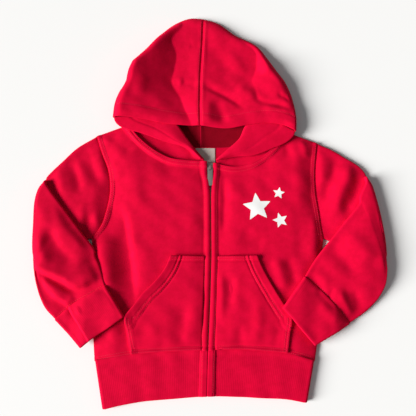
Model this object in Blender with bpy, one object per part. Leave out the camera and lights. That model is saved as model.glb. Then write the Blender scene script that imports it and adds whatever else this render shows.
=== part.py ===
"""Child's zip hoodie, laid flat on its back, sleeves folded over, hood spread above the neck.

Metres, +Z up, the garment rests on z = 0.  Wearer's right is -X, neck end is +Y.
All sizes below are in millimetres; MM turns them into metres at the end.
Every cloth piece is a middle surface of welded grids that is given its wall
along the surface direction, so no layer cuts another.
"""
import math
from collections import namedtuple

import bmesh
import bpy
import numpy as np

MM = 0.001

# ---------------------------------------------------------------- named sizes
SHIFT_X, SHIFT_Y = 0.9, 1.4       # brings the middle of the laid-out garment to the origin
WALL = 2.0                        # brushed jersey, one layer
RIB_WALL = 3.0                    # rib, folded double
GAP = 0.4                         # between pieces at a seam
BAND_GAP = 1.5                    # same, at the curved hem seam
LOW = WALL / 2                    # middle height of a layer lying on the floor
FRONT_MID = 6.2                   # middle height of the front panels
EDGE_MID = 3.4                    # middle height of the fronts where they meet the back
EDGE_RISE = 11.0                  # distance over which the fronts rise from their outer edge
BAND_BACK_MID, BAND_FRONT_MID = 1.5, 6.6
POCKET_LIFT = WALL + 0.4
LABEL_Z, LABEL_T = 2.4, 0.85
TAPE_Z, TAPE_T, TAPE_IN, TAPE_OUT = 3.6, 1.0, 2.4, 13.5
CHAIN_Z, CHAIN_T, CHAIN_HALF = 3.4, 1.3, 2.0

# ------------------------------------------------------------- section tables
Side = namedtuple("Side", "y right left")                  # body side edge, hem seam to underarm
SIDES = [Side(-225.2, -157.8, 144.0), Side(-198.0, -160.3, 148.8), Side(-143.0, -163.7, 153.5),
         Side(-90.0, -166.4, 158.3), Side(-56.0, -167.4, 161.9)]
Arm = namedtuple("Arm", "right_x right_y left_x left_y")   # armhole seam, underarm to shoulder
ARMHOLE = [Arm(-167.4, -56.0, 161.9, -56.0), Arm(-155.3, -38.2, 159.4, -41.7),
           Arm(-148.5, -16.9, 157.2, -21.3), Arm(-143.7, 15.0, 153.0, 15.0),
           Arm(-147.3, 43.7, 153.6, 45.0), Arm(-156.8, 68.1, 156.0, 67.0),
           Arm(-166.1, 95.1, 158.4, 84.0)]
Neck = namedtuple("Neck", "right_x right_y left_x left_y")
NECK_FRONT = [Neck(-120.7, 112.4, 111.4, 102.4), Neck(-103.2, 90.9, 100.7, 85.6),
              Neck(-87.5, 77.2, 88.6, 71.9), Neck(-72.6, 67.4, 73.8, 59.8),
              Neck(-57.9, 60.6, 57.6, 51.5), Neck(-31.5, 56.8, 38.5, 47.8),
              Neck(-4.6, 55.3, 5.8, 53.0)]
NECK_BACK = [Neck(-120.7, 112.4, 111.4, 102.4), Neck(-88.5, 93.6, 67.4, 85.9),
             Neck(-51.2, 81.3, 30.3, 79.0), Neck(-12.7, 78.2, -12.7, 78.2)]
Hem = namedtuple("Hem", "x seam_y edge_x edge_y")          # rib band, wearer's right to left
HEM = [Hem(-157.8, -225.2, -145.8, -288.2), Hem(-136.0, -221.0, -133.7, -285.0),
       Hem(-104.0, -216.0, -97.3, -277.9), Hem(-58.7, -212.6, -50.0, -273.6),
       Hem(-3.4, -210.8, -3.7, -270.3), Hem(41.8, -209.6, 41.2, -271.0),
       Hem(75.0, -212.0, 73.8, -272.7), Hem(107.8, -215.0, 102.3, -274.0),
       Hem(144.0, -225.2, 132.7, -279.2)]
Zip = namedtuple("Zip", "y middle half_gap")               # opening between the two fronts
ZIP = [Zip(-271.0, -3.7, 1.0), Zip(-204.0, -2.0, 1.3), Zip(-143.0, 0.5, 1.4), Zip(-83.0, 2.2, 1.4),
       Zip(6.0, 1.8, 1.5), Zip(28.0, 1.4, 3.2), Zip(37.0, 0.9, 5.1), Zip(56.0, 0.7, 5.3)]
Pocket = namedtuple("Pocket", "y right left")              # outer edge of the pouch pockets
POCKET = [Pocket(-82.0, -54.5, 66.3), Pocket(-98.0, -61.3, 72.9), Pocket(-116.4, -74.7, 82.6),
          Pocket(-135.7, -93.9, 93.9), Pocket(-151.0, -105.2, 103.3), Pocket(-165.5, -116.0, 112.3),
          Pocket(-190.4, -112.4, 109.2), Pocket(-215.4, -107.0, 106.4)]
POCKET_UP = 1.0                                            # its lower edge above the hem seam
POCKET_INNER = 7.0                                         # from the zip middle to the pocket
Edge = namedtuple("Edge", "right_x right_y left_x left_y")
ARM_TOP = [Edge(-166.6, 95.7, 159.2, 84.2), Edge(-198.3, 75.8, 179.0, 75.8),
           Edge(-216.6, 57.6, 199.0, 63.7), Edge(-233.3, 41.0, 221.8, 48.5),
           Edge(-243.0, 30.0, 232.5, 35.0)]
ARM_UNDER = [Edge(-167.9, -56.6, 162.5, -56.6), Edge(-185.3, -62.9, 186.3, -67.2),
             Edge(-210.6, -72.9, 208.6, -77.2), Edge(-234.2, -84.3, 231.0, -85.7),
             Edge(-246.0, -91.0, 248.0, -93.5)]
ARM_FOLD = [Edge(-243.0, 30.0, 232.5, 35.0), Edge(-251.0, 8.0, 240.2, 6.0),
            Edge(-253.0, -39.1, 247.6, -31.9), Edge(-252.6, -66.0, 251.0, -62.0),
            Edge(-249.6, -92.5, 251.6, -94.8)]
FORE_TOP = [Edge(-243.0, 24.0, 231.5, 26.0), Edge(-233.4, 10.1, 216.7, -3.0),
            Edge(-212.1, -17.4, 191.1, -34.5), Edge(-182.1, -55.8, 168.9, -61.4),
            Edge(-157.1, -88.0, 151.3, -82.4), Edge(-144.7, -123.2, 132.2, -110.9)]
FORE_UNDER = [Edge(-249.6, -92.5, 251.6, -94.8), Edge(-244.5, -118.2, 246.6, -123.7),
              Edge(-239.3, -136.1, 237.3, -140.2), Edge(-231.4, -152.5, 221.1, -156.6),
              Edge(-215.4, -169.4, 194.5, -174.9)]
CUFF_SEAM = [Edge(-144.7, -123.8, 132.2, -111.5), Edge(-168.0, -137.0, 150.0, -126.0),
             Edge(-192.0, -150.5, 172.0, -149.0), Edge(-214.6, -170.2, 193.8, -175.6)]
CUFF_END = [Edge(-117.3, -163.6, 100.7, -152.3), Edge(-138.0, -178.6, 113.0, -166.0),
            Edge(-161.0, -193.5, 129.0, -185.0), Edge(-178.4, -207.2, 145.5, -204.2)]
ARM_PAD, ARM_EDGE = 2.2, 1.6      # half distance between the two layers, middle and edge
FOLD_IN = 2.65                    # inner radius of the sleeve's turn
FORE_DROP = 6.5                   # how far the cuff's outer corner sinks towards the floor
CUFF_LIFT = 1.7                   # how far its inner corner rides over the pocket

Rim = namedtuple("Rim", "right_x right_y left_x left_y")   # hood outline, mouth corner to crown
HOOD_SIDE = [Rim(-143.0, 123.0, 127.5, 101.5), Rim(-141.0, 141.6, 128.2, 118.0),
             Rim(-135.6, 160.4, 125.4, 141.6), Rim(-127.1, 179.4, 122.0, 160.4),
             Rim(-124.5, 195.4, 115.0, 179.4), Rim(-118.5, 210.5, 101.9, 198.6)]
HOOD_TOP = [Rim(-118.5, 210.5, 101.9, 198.6), Rim(-101.1, 227.7, 88.7, 218.0),
            Rim(-75.7, 257.1, 73.8, 237.5), Rim(-49.9, 277.0, 39.0, 257.1),
            Rim(-30.0, 284.6, 11.5, 277.0), Rim(-9.0, 283.6, -9.0, 283.6)]
HOOD_MOUTH = [Rim(-143.0, 123.0, 127.5, 101.5), Rim(-117.6, 121.6, 108.5, 110.8),
              Rim(-96.9, 118.9, 86.0, 114.2), Rim(-72.7, 114.3, 58.0, 111.5),
              Rim(-45.7, 111.3, 26.0, 106.0), Rim(-13.3, 109.8, -13.3, 109.8)]
HOOD_HEM = [Rim(-143.0, 123.0, 127.5, 101.5), Rim(-134.0, 109.0, 118.0, 88.0),
            Rim(-103.6, 100.3, 94.1, 76.8), Rim(-59.3, 84.4, 62.0, 65.0),
            Rim(-38.8, 78.6, 38.5, 63.5), Rim(-16.0, 60.5, 16.0, 59.0)]
HOOD_ROLL = [Rim(-88.0, 139.0, 76.0, 127.0), Rim(-49.4, 113.4, 55.1, 112.6),
             Rim(-34.5, 92.0, 44.0, 90.0), Rim(-21.3, 73.8, 29.1, 75.8),
             Rim(-8.6, 59.2, 9.8, 58.6)]
HOOD_TUCK = [Rim(-56.0, 139.0, 46.0, 127.0), Rim(-80.0, 129.5, 72.0, 119.0),
             Rim(-104.0, 121.2, 95.0, 111.8), Rim(-118.6, 115.2, 109.2, 105.2)]
SeamRow = namedtuple("SeamRow", "y x")                     # centre seam of the hood
HOOD_SEAM = [SeamRow(79.0, -12.7), SeamRow(109.8, -13.3), SeamRow(139.0, -14.0),
             SeamRow(190.0, -13.5), SeamRow(240.0, -10.5), SeamRow(283.6, -9.0)]
TUCK_LOW, TUCK_MID, TUCK_HIGH = LOW, 4.8, 10.0             # three stacked layers beside the neck
HOOD_EDGE = 1.7                   # half distance between the hood's layers along its rim
HOOD_LOFT, HOOD_LOFT_RUN = 13.0, 46.0


# ---------------------------------------------------------------- curve tools
def spline(points, count):
    """Smooth curve through the points, cut into `count` equal lengths."""
    p = np.array(points, float)
    if len(p) > 2:
        h = np.linalg.norm(np.diff(p, axis=0), axis=1)
        slope = np.diff(p, axis=0) / h[:, None]
        m = np.empty_like(p)
        m[0], m[-1] = slope[0], slope[-1]
        m[1:-1] = (slope[1:] * h[:-1, None] + slope[:-1] * h[1:, None]) / (h[1:] + h[:-1])[:, None]
        t = np.linspace(0, 1, 24, endpoint=False)[:, None]
        runs = []
        for k in range(len(p) - 1):
            a, b = m[k] * h[k], m[k + 1] * h[k]
            runs.append((2 * t**3 - 3 * t**2 + 1) * p[k] + (t**3 - 2 * t**2 + t) * a
                        + (3 * t**2 - 2 * t**3) * p[k + 1] + (t**3 - t**2) * b)
        p = np.vstack(runs + [p[-1:]])
    s = np.concatenate([[0], np.cumsum(np.linalg.norm(np.diff(p, axis=0), axis=1))])
    want = np.linspace(0, s[-1], count + 1)
    return np.column_stack([np.interp(want, s, p[:, k]) for k in range(p.shape[1])])


def join(*runs):
    out = [runs[0]]
    for r in runs[1:]:
        out.append(r[1:])
    return np.vstack(out)


def pick(table, side):
    """x, y columns of a table for the wearer's right or left."""
    return [(getattr(r, side + "_x"), getattr(r, side + "_y")) for r in table]


def coons(bottom, top, left, right):
    """Grid [row][column] filling four joined edges."""
    ni, nj = len(bottom) - 1, len(left) - 1
    g = np.zeros((nj + 1, ni + 1, bottom.shape[1]))
    for j in range(nj + 1):
        v = j / nj
        for i in range(ni + 1):
            u = i / ni
            g[j, i] = ((1 - v) * bottom[i] + v * top[i] + (1 - u) * left[j] + u * right[j]
                       - (1 - u) * (1 - v) * bottom[0] - u * (1 - v) * bottom[-1]
                       - (1 - u) * v * top[0] - u * v * top[-1])
    return g


def step(t):
    t = np.clip(t, 0.0, 1.0)
    return t * t * (3 - 2 * t)


def dist_to(line, x, y):
    a, b = line[:-1], line[1:]
    d = b - a
    t = np.clip(((x - a[:, 0]) * d[:, 0] + (y - a[:, 1]) * d[:, 1]) / (d**2).sum(1), 0, 1)
    return float(np.min(np.hypot(a[:, 0] + t * d[:, 0] - x, a[:, 1] + t * d[:, 1] - y)))


def zip_middle(y):
    t = sorted(ZIP)
    return float(np.interp(y, [r.y for r in t], [r.middle for r in t]))


def zip_gap(y):
    t = sorted(ZIP)
    return float(np.interp(y, [r.y for r in t], [r.half_gap for r in t]))


# ----------------------------------------------------------------- cloth tool
class Cloth:
    """Middle surface of welded grids; body() gives it a wall and closes it."""

    def __init__(self):
        self.bm = bmesh.new()
        self.known = {}

    def vert(self, p):
        key = tuple(round(float(c), 3) for c in p)
        if key not in self.known:
            self.known[key] = self.bm.verts.new(key)
        return self.known[key]

    def patch(self, grid):
        v = [[self.vert(p) for p in row] for row in grid]
        for j in range(len(v) - 1):
            for i in range(len(v[0]) - 1):
                ring = []
                for q in (v[j][i], v[j][i + 1], v[j + 1][i + 1], v[j + 1][i]):
                    if q not in ring:
                        ring.append(q)
                if len(ring) > 2:
                    try:
                        self.bm.faces.new(ring)
                    except ValueError:
                        pass
        return self

    def body(self, name, wall, material):
        bm = self.bm
        bmesh.ops.recalc_face_normals(bm, faces=bm.faces[:])
        bm.normal_update()
        normal = {}
        for v in bm.verts:
            n = sum((f.normal * loop.calc_angle() for loop in v.link_loops for f in [loop.face]),
                    v.co * 0)
            normal[v] = n.normalized()
        out = bmesh.new()
        up = {v: out.verts.new(v.co + normal[v] * wall / 2) for v in bm.verts}
        dn = {v: out.verts.new(v.co - normal[v] * wall / 2) for v in bm.verts}
        for f in bm.faces:
            out.faces.new([up[v] for v in f.verts])
            out.faces.new([dn[v] for v in reversed(f.verts)])
        for e in bm.edges:
            if len(e.link_faces) == 1:
                a, b = e.verts
                out.faces.new([up[a], up[b], dn[b], dn[a]])
        bm.free()
        return finish(out, name, material)


def finish(bm, name, material, origin=(0.0, 0.0, 0.0)):
    """Turn a millimetre mesh into a named object in metres."""
    bmesh.ops.recalc_face_normals(bm, faces=bm.faces[:])
    bmesh.ops.triangulate(bm, faces=bm.faces[:])
    ox, oy, oz = origin
    for v in bm.verts:
        v.co = ((v.co.x - ox) * MM, (v.co.y - oy) * MM, (v.co.z - oz) * MM)
    mesh = bpy.data.meshes.new(name)
    bm.to_mesh(mesh)
    bm.free()
    mesh.materials.append(material)
    mesh.shade_smooth()
    mesh.set_sharp_from_angle(angle=math.radians(50))
    obj = bpy.data.objects.new(name, mesh)
    obj.location = ((ox + SHIFT_X) * MM, (oy + SHIFT_Y) * MM, oz * MM)
    bpy.context.scene.collection.objects.link(obj)
    return obj


def paint(name, rgb, roughness, metallic=0.0):
    m = bpy.data.materials.new(name)
    m.use_nodes = True
    b = m.node_tree.nodes["Principled BSDF"]
    b.inputs["Base Color"].default_value = (*rgb, 1.0)
    b.inputs["Roughness"].default_value = roughness
    b.inputs["Metallic"].default_value = metallic
    return m


# ----------------------------------------------------------------------- body
def body_side(side, n_side, n_arm):
    """Side edge and armhole of a body panel, hem seam to shoulder."""
    edge = spline([(getattr(r, side), r.y) for r in SIDES], n_side)
    return join(edge, spline(pick(ARMHOLE, side), n_arm))


def shoulder(side, n):
    a, b = pick(ARMHOLE, side)[-1], pick(NECK_FRONT, side)[0]
    return spline([a, b], n)


OUTER = {s: join(body_side(s, 10, 12), shoulder(s, 4)) for s in ("right", "left")}


def front_mid(x, y, side):
    """Middle height of a front panel: low along its outer seams, level elsewhere."""
    d = dist_to(OUTER[side], x, y)
    return EDGE_MID + (FRONT_MID - EDGE_MID) * (1 - math.exp(-d / EDGE_RISE)) / (1 - math.exp(-6.0)) \
        if d < 6 * EDGE_RISE else FRONT_MID


def hem_line(x0, x1, count, edge=False):
    """Points along the hem seam (or the band's free edge) between two x positions."""
    pts = spline([((r.edge_x, r.edge_y) if edge else (r.x, r.seam_y)) for r in HEM], 60)
    xs = np.linspace(x0, x1, count + 1)
    return np.column_stack([xs, np.interp(xs, pts[:, 0], pts[:, 1])])


def with_z(grid, height):
    return [[(p[0], p[1], height(p[0], p[1])) for p in row] for row in grid]


def build_back(material):
    left = body_side("right", 5, 6)
    right = body_side("left", 5, 6)
    bottom = hem_line(left[0][0], right[0][0], 14)
    neck = join(spline(pick(NECK_BACK, "right"), 5), spline(pick(NECK_BACK, "left")[::-1], 5))
    top = join(shoulder("right", 2), neck, shoulder("left", 2)[::-1])
    bottom[0], bottom[-1] = left[0], right[0]
    return Cloth().patch(with_z(coons(bottom, top, left, right), lambda x, y: LOW)) \
        .body("back_panel", WALL, material)


def zip_edge(sign, y0, y1, count):
    ys = np.linspace(y0, y1, count + 1)
    return np.array([(zip_middle(y) + sign * zip_gap(y), y) for y in ys])


def build_front(side, material):
    sign = -1 if side == "right" else 1
    outer = body_side(side, 6, 6)
    y0 = -210.9 if side == "right" else -210.6
    inner = zip_edge(sign, y0, pick(NECK_FRONT, side)[-1][1], 12)
    bottom = hem_line(outer[0][0], inner[0][0], 8)
    bottom[0], inner[0] = outer[0], bottom[-1]
    top = join(shoulder(side, 2), spline(pick(NECK_FRONT, side), 6))
    top[-1] = inner[-1]
    grid = coons(bottom, top, outer, inner)
    return Cloth().patch(with_z(grid, lambda x, y: front_mid(x, y, side))) \
        .body("front_" + side, WALL, material)


def build_pocket(side, material):
    sign = -1 if side == "right" else 1
    outer = spline([(getattr(r, side), r.y) for r in POCKET][::-1], 10)
    y0, y1 = outer[0][1], outer[-1][1]
    ys = np.linspace(-212.6 + 0.8, y1 - 0.8, 11)
    inner = np.array([(zip_middle(y) + sign * POCKET_INNER, y) for y in ys])
    bottom = hem_line(outer[0][0], inner[0][0], 5) + np.array([0.0, POCKET_UP])
    top = spline([outer[-1], inner[-1]], 5)
    outer[0], inner[0] = bottom[0], bottom[-1]
    grid = coons(bottom, top, outer, inner)
    return Cloth().patch(with_z(grid, lambda x, y: front_mid(x, y, side) + POCKET_LIFT)) \
        .body("pocket_" + side, WALL, material)


def build_band(material):
    """One doubled rib strip round the hem, open at the zip."""
    turn = (BAND_FRONT_MID - BAND_BACK_MID) / 2
    seam = spline([(r.x, r.seam_y - BAND_GAP) for r in HEM], 80)
    free = spline([(r.edge_x, r.edge_y) for r in HEM], 80)
    rows = []
    for k in range(4):
        v = k / 3
        line = seam * (1 - v) + free * v
        x0, x1 = line[0][0] + turn + RIB_WALL / 2, line[-1][0] - turn - RIB_WALL / 2
        y_at = lambda x: float(np.interp(x, line[:, 0], line[:, 1]))
        y_mid = y_at(0.0)
        zr, zl = zip_middle(y_mid) - zip_gap(y_mid), zip_middle(y_mid) + zip_gap(y_mid)
        row = [(x, y_at(x), BAND_FRONT_MID) for x in np.linspace(zr, x0, 8)]
        for a in np.linspace(0, math.pi, 6)[1:-1]:
            row.append((x0 - turn * math.sin(a), y_at(x0), BAND_FRONT_MID - turn + turn * math.cos(a)))
        row += [(x, y_at(x), BAND_BACK_MID) for x in np.linspace(x0, x1, 14)]
        for a in np.linspace(0, math.pi, 6)[1:-1]:
            row.append((x1 + turn * math.sin(a), y_at(x1), BAND_BACK_MID + turn - turn * math.cos(a)))
        row += [(x, y_at(x), BAND_FRONT_MID) for x in np.linspace(x1, zl, 8)]
        rows.append(row)
    return Cloth().patch(rows).body("hem_band", RIB_WALL, material)


# -------------------------------------------------------------------- sleeves
def inset(line, amount, toward):
    """Move a plan line sideways towards a point."""
    out = []
    for k, p in enumerate(line):
        a, b = line[max(k - 1, 0)], line[min(k + 1, len(line) - 1)]
        d = (b - a) / np.linalg.norm(b - a)
        n = np.array([-d[1], d[0]])
        if np.dot(n, np.array(toward) - p) < 0:
            n = -n
        out.append(p + n * amount)
    return np.array(out)


def shrink_ends(line, amount):
    """Shorten a plan line at both ends."""
    line = np.array(line)
    s = np.concatenate([[0], np.cumsum(np.linalg.norm(np.diff(line, axis=0), axis=1))])
    want = np.interp(np.linspace(0, 1, len(line)), [0, 1], [amount, s[-1] - amount])
    return np.column_stack([np.interp(want, s, line[:, k]) for k in range(2)])


def fore_height(x, y):
    """Rise and fall of the folded-over forearm: sinks off the body, rides over the pocket."""
    off = step((abs(x) - 170.0) / 26.0) * step((-104.0 - y) / 50.0)
    on = step((150.0 - abs(x)) / 26.0)
    return CUFF_LIFT * on - FORE_DROP * off


def loop(plan, height, half, normal, out_a, out_b, rim):
    """Closed ring round a flattened tube: far layer, rim, near layer, rim."""
    n = len(plan) - 1
    centre = [np.array([plan[i][0], plan[i][1], height[i]]) for i in range(n + 1)]
    ring = [centre[i] + normal[i] * half[i] for i in range(n + 1)]
    for k in range(1, rim):
        a = math.pi * k / rim
        ring.append(centre[n] + half[n] * (math.cos(a) * normal[n] + math.sin(a) * out_b))
    ring += [centre[i] - normal[i] * half[i] for i in range(n, -1, -1)]
    for k in range(1, rim):
        a = math.pi * k / rim
        ring.append(centre[0] + half[0] * (-math.cos(a) * normal[0] + math.sin(a) * out_a))
    ring.append(ring[0])
    return ring


def unit(v):
    return v / np.linalg.norm(v)


def ends(plan):
    a, b = plan[0] - plan[1], plan[-1] - plan[-2]
    return np.append(unit(a), 0.0), np.append(unit(b), 0.0)


UP = np.array([0.0, 0.0, 1.0])


def build_sleeve(side, material, n_across=6, n_arm=5, n_turn=5, n_fore=7, rim=3):
    sign = -1 if side == "right" else 1
    edge = ARM_EDGE + WALL / 2
    fold_out = FOLD_IN + 2 * ARM_EDGE
    middle = (sign * 200.0, -30.0)
    hole = spline(pick(ARMHOLE, side)[::-1], n_across)
    hole = shrink_ends(hole + np.array([sign * (GAP + 1.0), 0.0]), edge)
    axis = shrink_ends(inset(spline(pick(ARM_FOLD, side), n_across), fold_out + WALL / 2, middle), edge)
    top = inset(spline(pick(ARM_TOP, side), n_arm), edge, middle)
    under = inset(spline(pick(ARM_UNDER, side), n_arm), edge, middle)
    top[0], top[-1], under[0], under[-1] = hole[0], axis[0], hole[-1], axis[-1]
    arm = coons(hole, axis, top, under)
    rings = []
    for j, row in enumerate(arm):
        swell = math.sin(math.pi * min(1.0, j / n_arm))
        half = [ARM_EDGE + (ARM_PAD - ARM_EDGE) * swell * math.sin(math.pi * i / n_across)
                for i in range(n_across + 1)]
        a, b = ends(row)
        rings.append(loop(row, [LOW + h for h in half], half, [UP] * len(row), a, b, rim))
    a, b = ends(axis)
    r_mid = (fold_out + FOLD_IN) / 2
    z_axis = LOW + fold_out
    out = [np.append(unit(q - p), 0.0) for p, q in
           zip(axis, inset(axis, 1.0, (sign * 900.0, -30.0)))]
    for k in range(1, n_turn + 1):
        t = math.pi * k / n_turn
        plan = [axis[i] + out[i][:2] * r_mid * math.sin(t) for i in range(len(axis))]
        height = [z_axis - r_mid * math.cos(t)] * len(axis)
        normal = [-math.sin(t) * out[i] + math.cos(t) * UP for i in range(len(axis))]
        rings.append(loop(plan, height, [ARM_EDGE] * len(axis), normal, a, b, rim))
    top = inset(spline(pick(FORE_TOP, side), n_fore), edge, middle)
    under = inset(spline(pick(FORE_UNDER, side), n_fore), edge, middle)
    cuff = shrink_ends(spline(pick(CUFF_SEAM, side), n_across), edge)
    top[0], top[-1], under[0], under[-1] = axis[0], cuff[0], axis[-1], cuff[-1]
    for j, row in enumerate(coons(axis, cuff, top, under)):
        if j == 0:
            continue
        swell = math.sin(math.pi * j / n_fore)
        half = [ARM_EDGE + (ARM_PAD - ARM_EDGE) * swell * math.sin(math.pi * i / n_across)
                for i in range(n_across + 1)]
        a, b = ends(row)
        height = [z_axis + r_mid + half[i] - ARM_EDGE + fore_height(*row[i]) for i in range(len(row))]
        rings.append(loop(row, height, half, [-UP] * len(row), a, b, rim))
    return Cloth().patch(rings).body("sleeve_" + side, WALL, material)


CUFF_HALF = 1.8


def build_cuff(side, material, n_across=6, n_long=3, rim=3):
    edge = CUFF_HALF + RIB_WALL / 2
    sign = -1 if side == "right" else 1
    seam = spline(pick(CUFF_SEAM, side), n_across)
    end = spline(pick(CUFF_END, side), n_across)
    seam = seam + (end - seam) * 0.022
    seam, end = shrink_ends(seam, edge - 0.6), shrink_ends(end, edge)
    base = LOW + 2 * (FOLD_IN + 2 * ARM_EDGE) - ARM_EDGE
    rings = []
    for j in range(n_long + 1):
        row = seam + (end - seam) * j / n_long
        a, b = ends(row)
        height = [base + 0.6 + fore_height(*p) for p in row]
        rings.append(loop(row, height, [CUFF_HALF] * len(row), [-UP] * len(row), a, b, rim))
    return Cloth().patch(rings).body("cuff_" + side, RIB_WALL, material)


# ----------------------------------------------------------------------- hood
def seam_x(y):
    return float(np.interp(y, [r.y for r in HOOD_SEAM], [r.x for r in HOOD_SEAM]))


def hood_floor(x, y, side):
    """Middle height of the hood's lower layer above the tuck."""
    row_x = -72.0 if side == "right" else 61.0
    row_y = 139.0 if side == "right" else 127.0
    beside = step((abs(x) - abs(row_x) + 16.0) / 32.0)
    near = 1 - step((y - row_y) / 48.0)
    return TUCK_LOW + (TUCK_HIGH - TUCK_LOW) * beside * near


def tuck_profile(c, f, r, e, weight, n):
    """One cross line of the side tuck: in to the tuck, back to the roll, out to the hem.

    weight 0 is an open ramp between two levels, 1 a full three-layer tuck.
    """
    r1, r2 = (TUCK_MID - TUCK_LOW) / 2, (TUCK_HIGH - TUCK_MID) / 2
    d1 = unit(f - c)
    d2 = unit(r - f) if weight > 0.01 else -d1
    d3 = unit(r - e)
    pts = []
    for k in range(n.base):
        p = c + (f - d1 * r1 - c) * k / n.base
        pts.append((p[0], p[1], TUCK_LOW))
    for k in range(n.turn + 1):
        a = math.pi * k / n.turn
        p = f - d1 * r1 + d1 * r1 * math.sin(a)
        pts.append((p[0], p[1], TUCK_LOW + r1 - r1 * math.cos(a)))
    start, stop = f - d1 * r1, r - d3 * r2
    for k in range(1, n.mid):
        p = start + (stop - start) * k / n.mid
        pts.append((p[0], p[1], TUCK_MID))
    for k in range(n.turn + 1):
        a = math.pi * k / n.turn
        p = r - d3 * r2 + d3 * r2 * math.sin(a)
        pts.append((p[0], p[1], TUCK_MID + r2 - r2 * math.cos(a)))
    for k in range(1, n.flap + 1):
        p = r - d3 * r2 + (e - (r - d3 * r2)) * k / n.flap
        pts.append((p[0], p[1], TUCK_HIGH))
    return np.array(pts)


Count = namedtuple("Count", "base turn mid flap rows side rim")
HOOD_COUNT = Count(base=4, turn=3, mid=4, flap=4, rows=6, side=5, rim=3)


def build_hood(side, material, n=HOOD_COUNT):
    sign = -1 if side == "right" else 1
    edge = HOOD_EDGE + WALL / 2
    mid_pt = (sign * 62.0, 165.0)
    rim_side = inset(spline(pick(HOOD_SIDE, side), n.side), edge, mid_pt)
    cols = n.base + n.turn + 1 + (n.mid - 1) + n.turn + 1 + n.flap - 1
    half_gap = sign * 0.35
    # lower block: rows from the start of the tuck down to the neck seam
    hem = spline(pick(HOOD_HEM, side), n.rows)
    hem[0] = rim_side[0]
    roll = spline(pick(HOOD_ROLL, side), n.rows)
    tuck = spline(pick(HOOD_TUCK, side), n.rows)
    y_top = HOOD_TUCK[0].right_y if side == "right" else HOOD_TUCK[0].left_y
    cy = np.linspace(y_top, NECK_BACK[-1].right_y + 1.6, n.rows + 1)
    base = np.array([(seam_x(y) + half_gap, y) for y in cy])
    back = pick(NECK_BACK, side)[::-1]
    block = []
    for j in range(n.rows + 1):
        v = j / n.rows
        if j == 0:
            block.append(None)
            continue
        g = tuck_profile(base[j], tuck[j], roll[j], hem[j], 1.0, n)
        block.append(g)
    # curve the two neck rows along the neck seam
    last = block[-1]
    bline = spline(back, 40) + np.array([0.0, GAP + 1.2])
    fline = spline(pick(NECK_FRONT, side), 40)
    for i in range(cols + 1):
        x, y, z = last[i]
        if i <= n.base:
            last[i][1] = np.interp(sign * x, sign * bline[:, 0], bline[:, 1])
        elif z < TUCK_MID + 0.1 and i > n.base + n.turn - 1:
            want = np.interp(-sign * x, -sign * fline[:, 0], fline[:, 1]) + GAP + 1.1
            last[i][1] = max(y, want) if y < want else want
    # first row: open ramp between the two levels
    c, f, r, e = base[0], tuck[0], roll[0], rim_side[0]
    row0 = []
    seq = [(k / n.base, "base") for k in range(n.base)]
    for k in range(cols + 1):
        if k < n.base:
            p, z = c + (f - c) * k / n.base, TUCK_LOW
        elif k <= cols - n.flap:
            t = (k - n.base) / (cols - n.flap - n.base)
            p, z = f + (r - f) * t, TUCK_LOW + (TUCK_HIGH - TUCK_LOW) * step(t)
        else:
            t = (k - cols + n.flap) / n.flap
            p, z = r + (e - r) * t, TUCK_HIGH
        row0.append((p[0], p[1], z))
    block[0] = np.array(row0)
    block[1] = 0.45 * block[0] + 0.55 * block[1]
    low = np.array(block)
    # upper lower-layer, over the same columns
    first = low[0][:, :2]
    rim_top = inset(spline(pick(HOOD_TOP, side), cols), edge, mid_pt)
    rim_top[0] = rim_side[-1]
    rim_top[-1] = (seam_x(280.9) + half_gap, 280.9)
    cy2 = np.linspace(y_top, rim_top[-1][1], n.side + 1)
    centre = np.array([(seam_x(y) + half_gap, y) for y in cy2])
    under = coons(first, rim_top[::-1], centre, rim_side)
    lower = np.array([[(p[0], p[1], hood_floor(p[0], p[1], side)) for p in row] for row in under])
    lower[0] = low[0]
    # upper layer, from the mouth edge to the crown
    mouth = spline(pick(HOOD_MOUTH, side), cols)
    mouth[0] = rim_side[0]
    mouth[-1] = (seam_x(109.8) + half_gap, 109.8)
    cy3 = np.linspace(109.8, rim_top[-1][1], n.side + 1)
    centre3 = np.array([(seam_x(y) + half_gap, y) for y in cy3])
    over = coons(mouth[::-1], rim_top[::-1], centre3, rim_side)
    outline = np.vstack([rim_side, rim_top[1:]])
    rim_z = {}
    for row in (lower[:, -1], lower[-1]):
        for p in row:
            rim_z[(round(p[0], 3), round(p[1], 3))] = p[2]
    upper = np.zeros((n.side + 1, cols + 1, 3))
    for j in range(n.side + 1):
        for i in range(cols + 1):
            x, y = over[j, i]
            d = dist_to(outline, x, y)
            on_rim = i == cols or j == n.side
            z_low = lower[j, i][2] if on_rim else hood_floor(x, y, side) * 1.0
            z_low = z_low if on_rim else TUCK_LOW + (z_low - TUCK_LOW) * math.exp(-d / 60.0)
            loft = HOOD_LOFT * step(d / HOOD_LOFT_RUN) if not on_rim else 0.0
            upper[j, i] = (x, y, z_low + 2 * HOOD_EDGE + loft)
    # rolled rim joining the layers
    line_low = np.vstack([lower[:, -1], lower[-1][::-1][1:]])
    strip = []
    for k, p in enumerate(line_low):
        a, b = line_low[max(k - 1, 0)][:2], line_low[min(k + 1, len(line_low) - 1)][:2]
        d = unit(b - a)
        nrm = np.array([-d[1], d[0]])
        if np.dot(nrm, p[:2] - np.array(mid_pt)) < 0:
            nrm = -nrm
        if k == len(line_low) - 1:
            nrm = np.array([0.0, 1.0])
        row = []
        for m in range(n.rim + 1):
            t = math.pi * m / n.rim
            row.append((p[0] + nrm[0] * HOOD_EDGE * math.sin(t), p[1] + nrm[1] * HOOD_EDGE * math.sin(t),
                        p[2] + HOOD_EDGE - HOOD_EDGE * math.cos(t)))
        strip.append(row)
    cloth = Cloth()
    cloth.patch(low).patch(lower).patch(strip).patch(upper)
    return cloth.body("hood_" + side, WALL, material)


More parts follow.
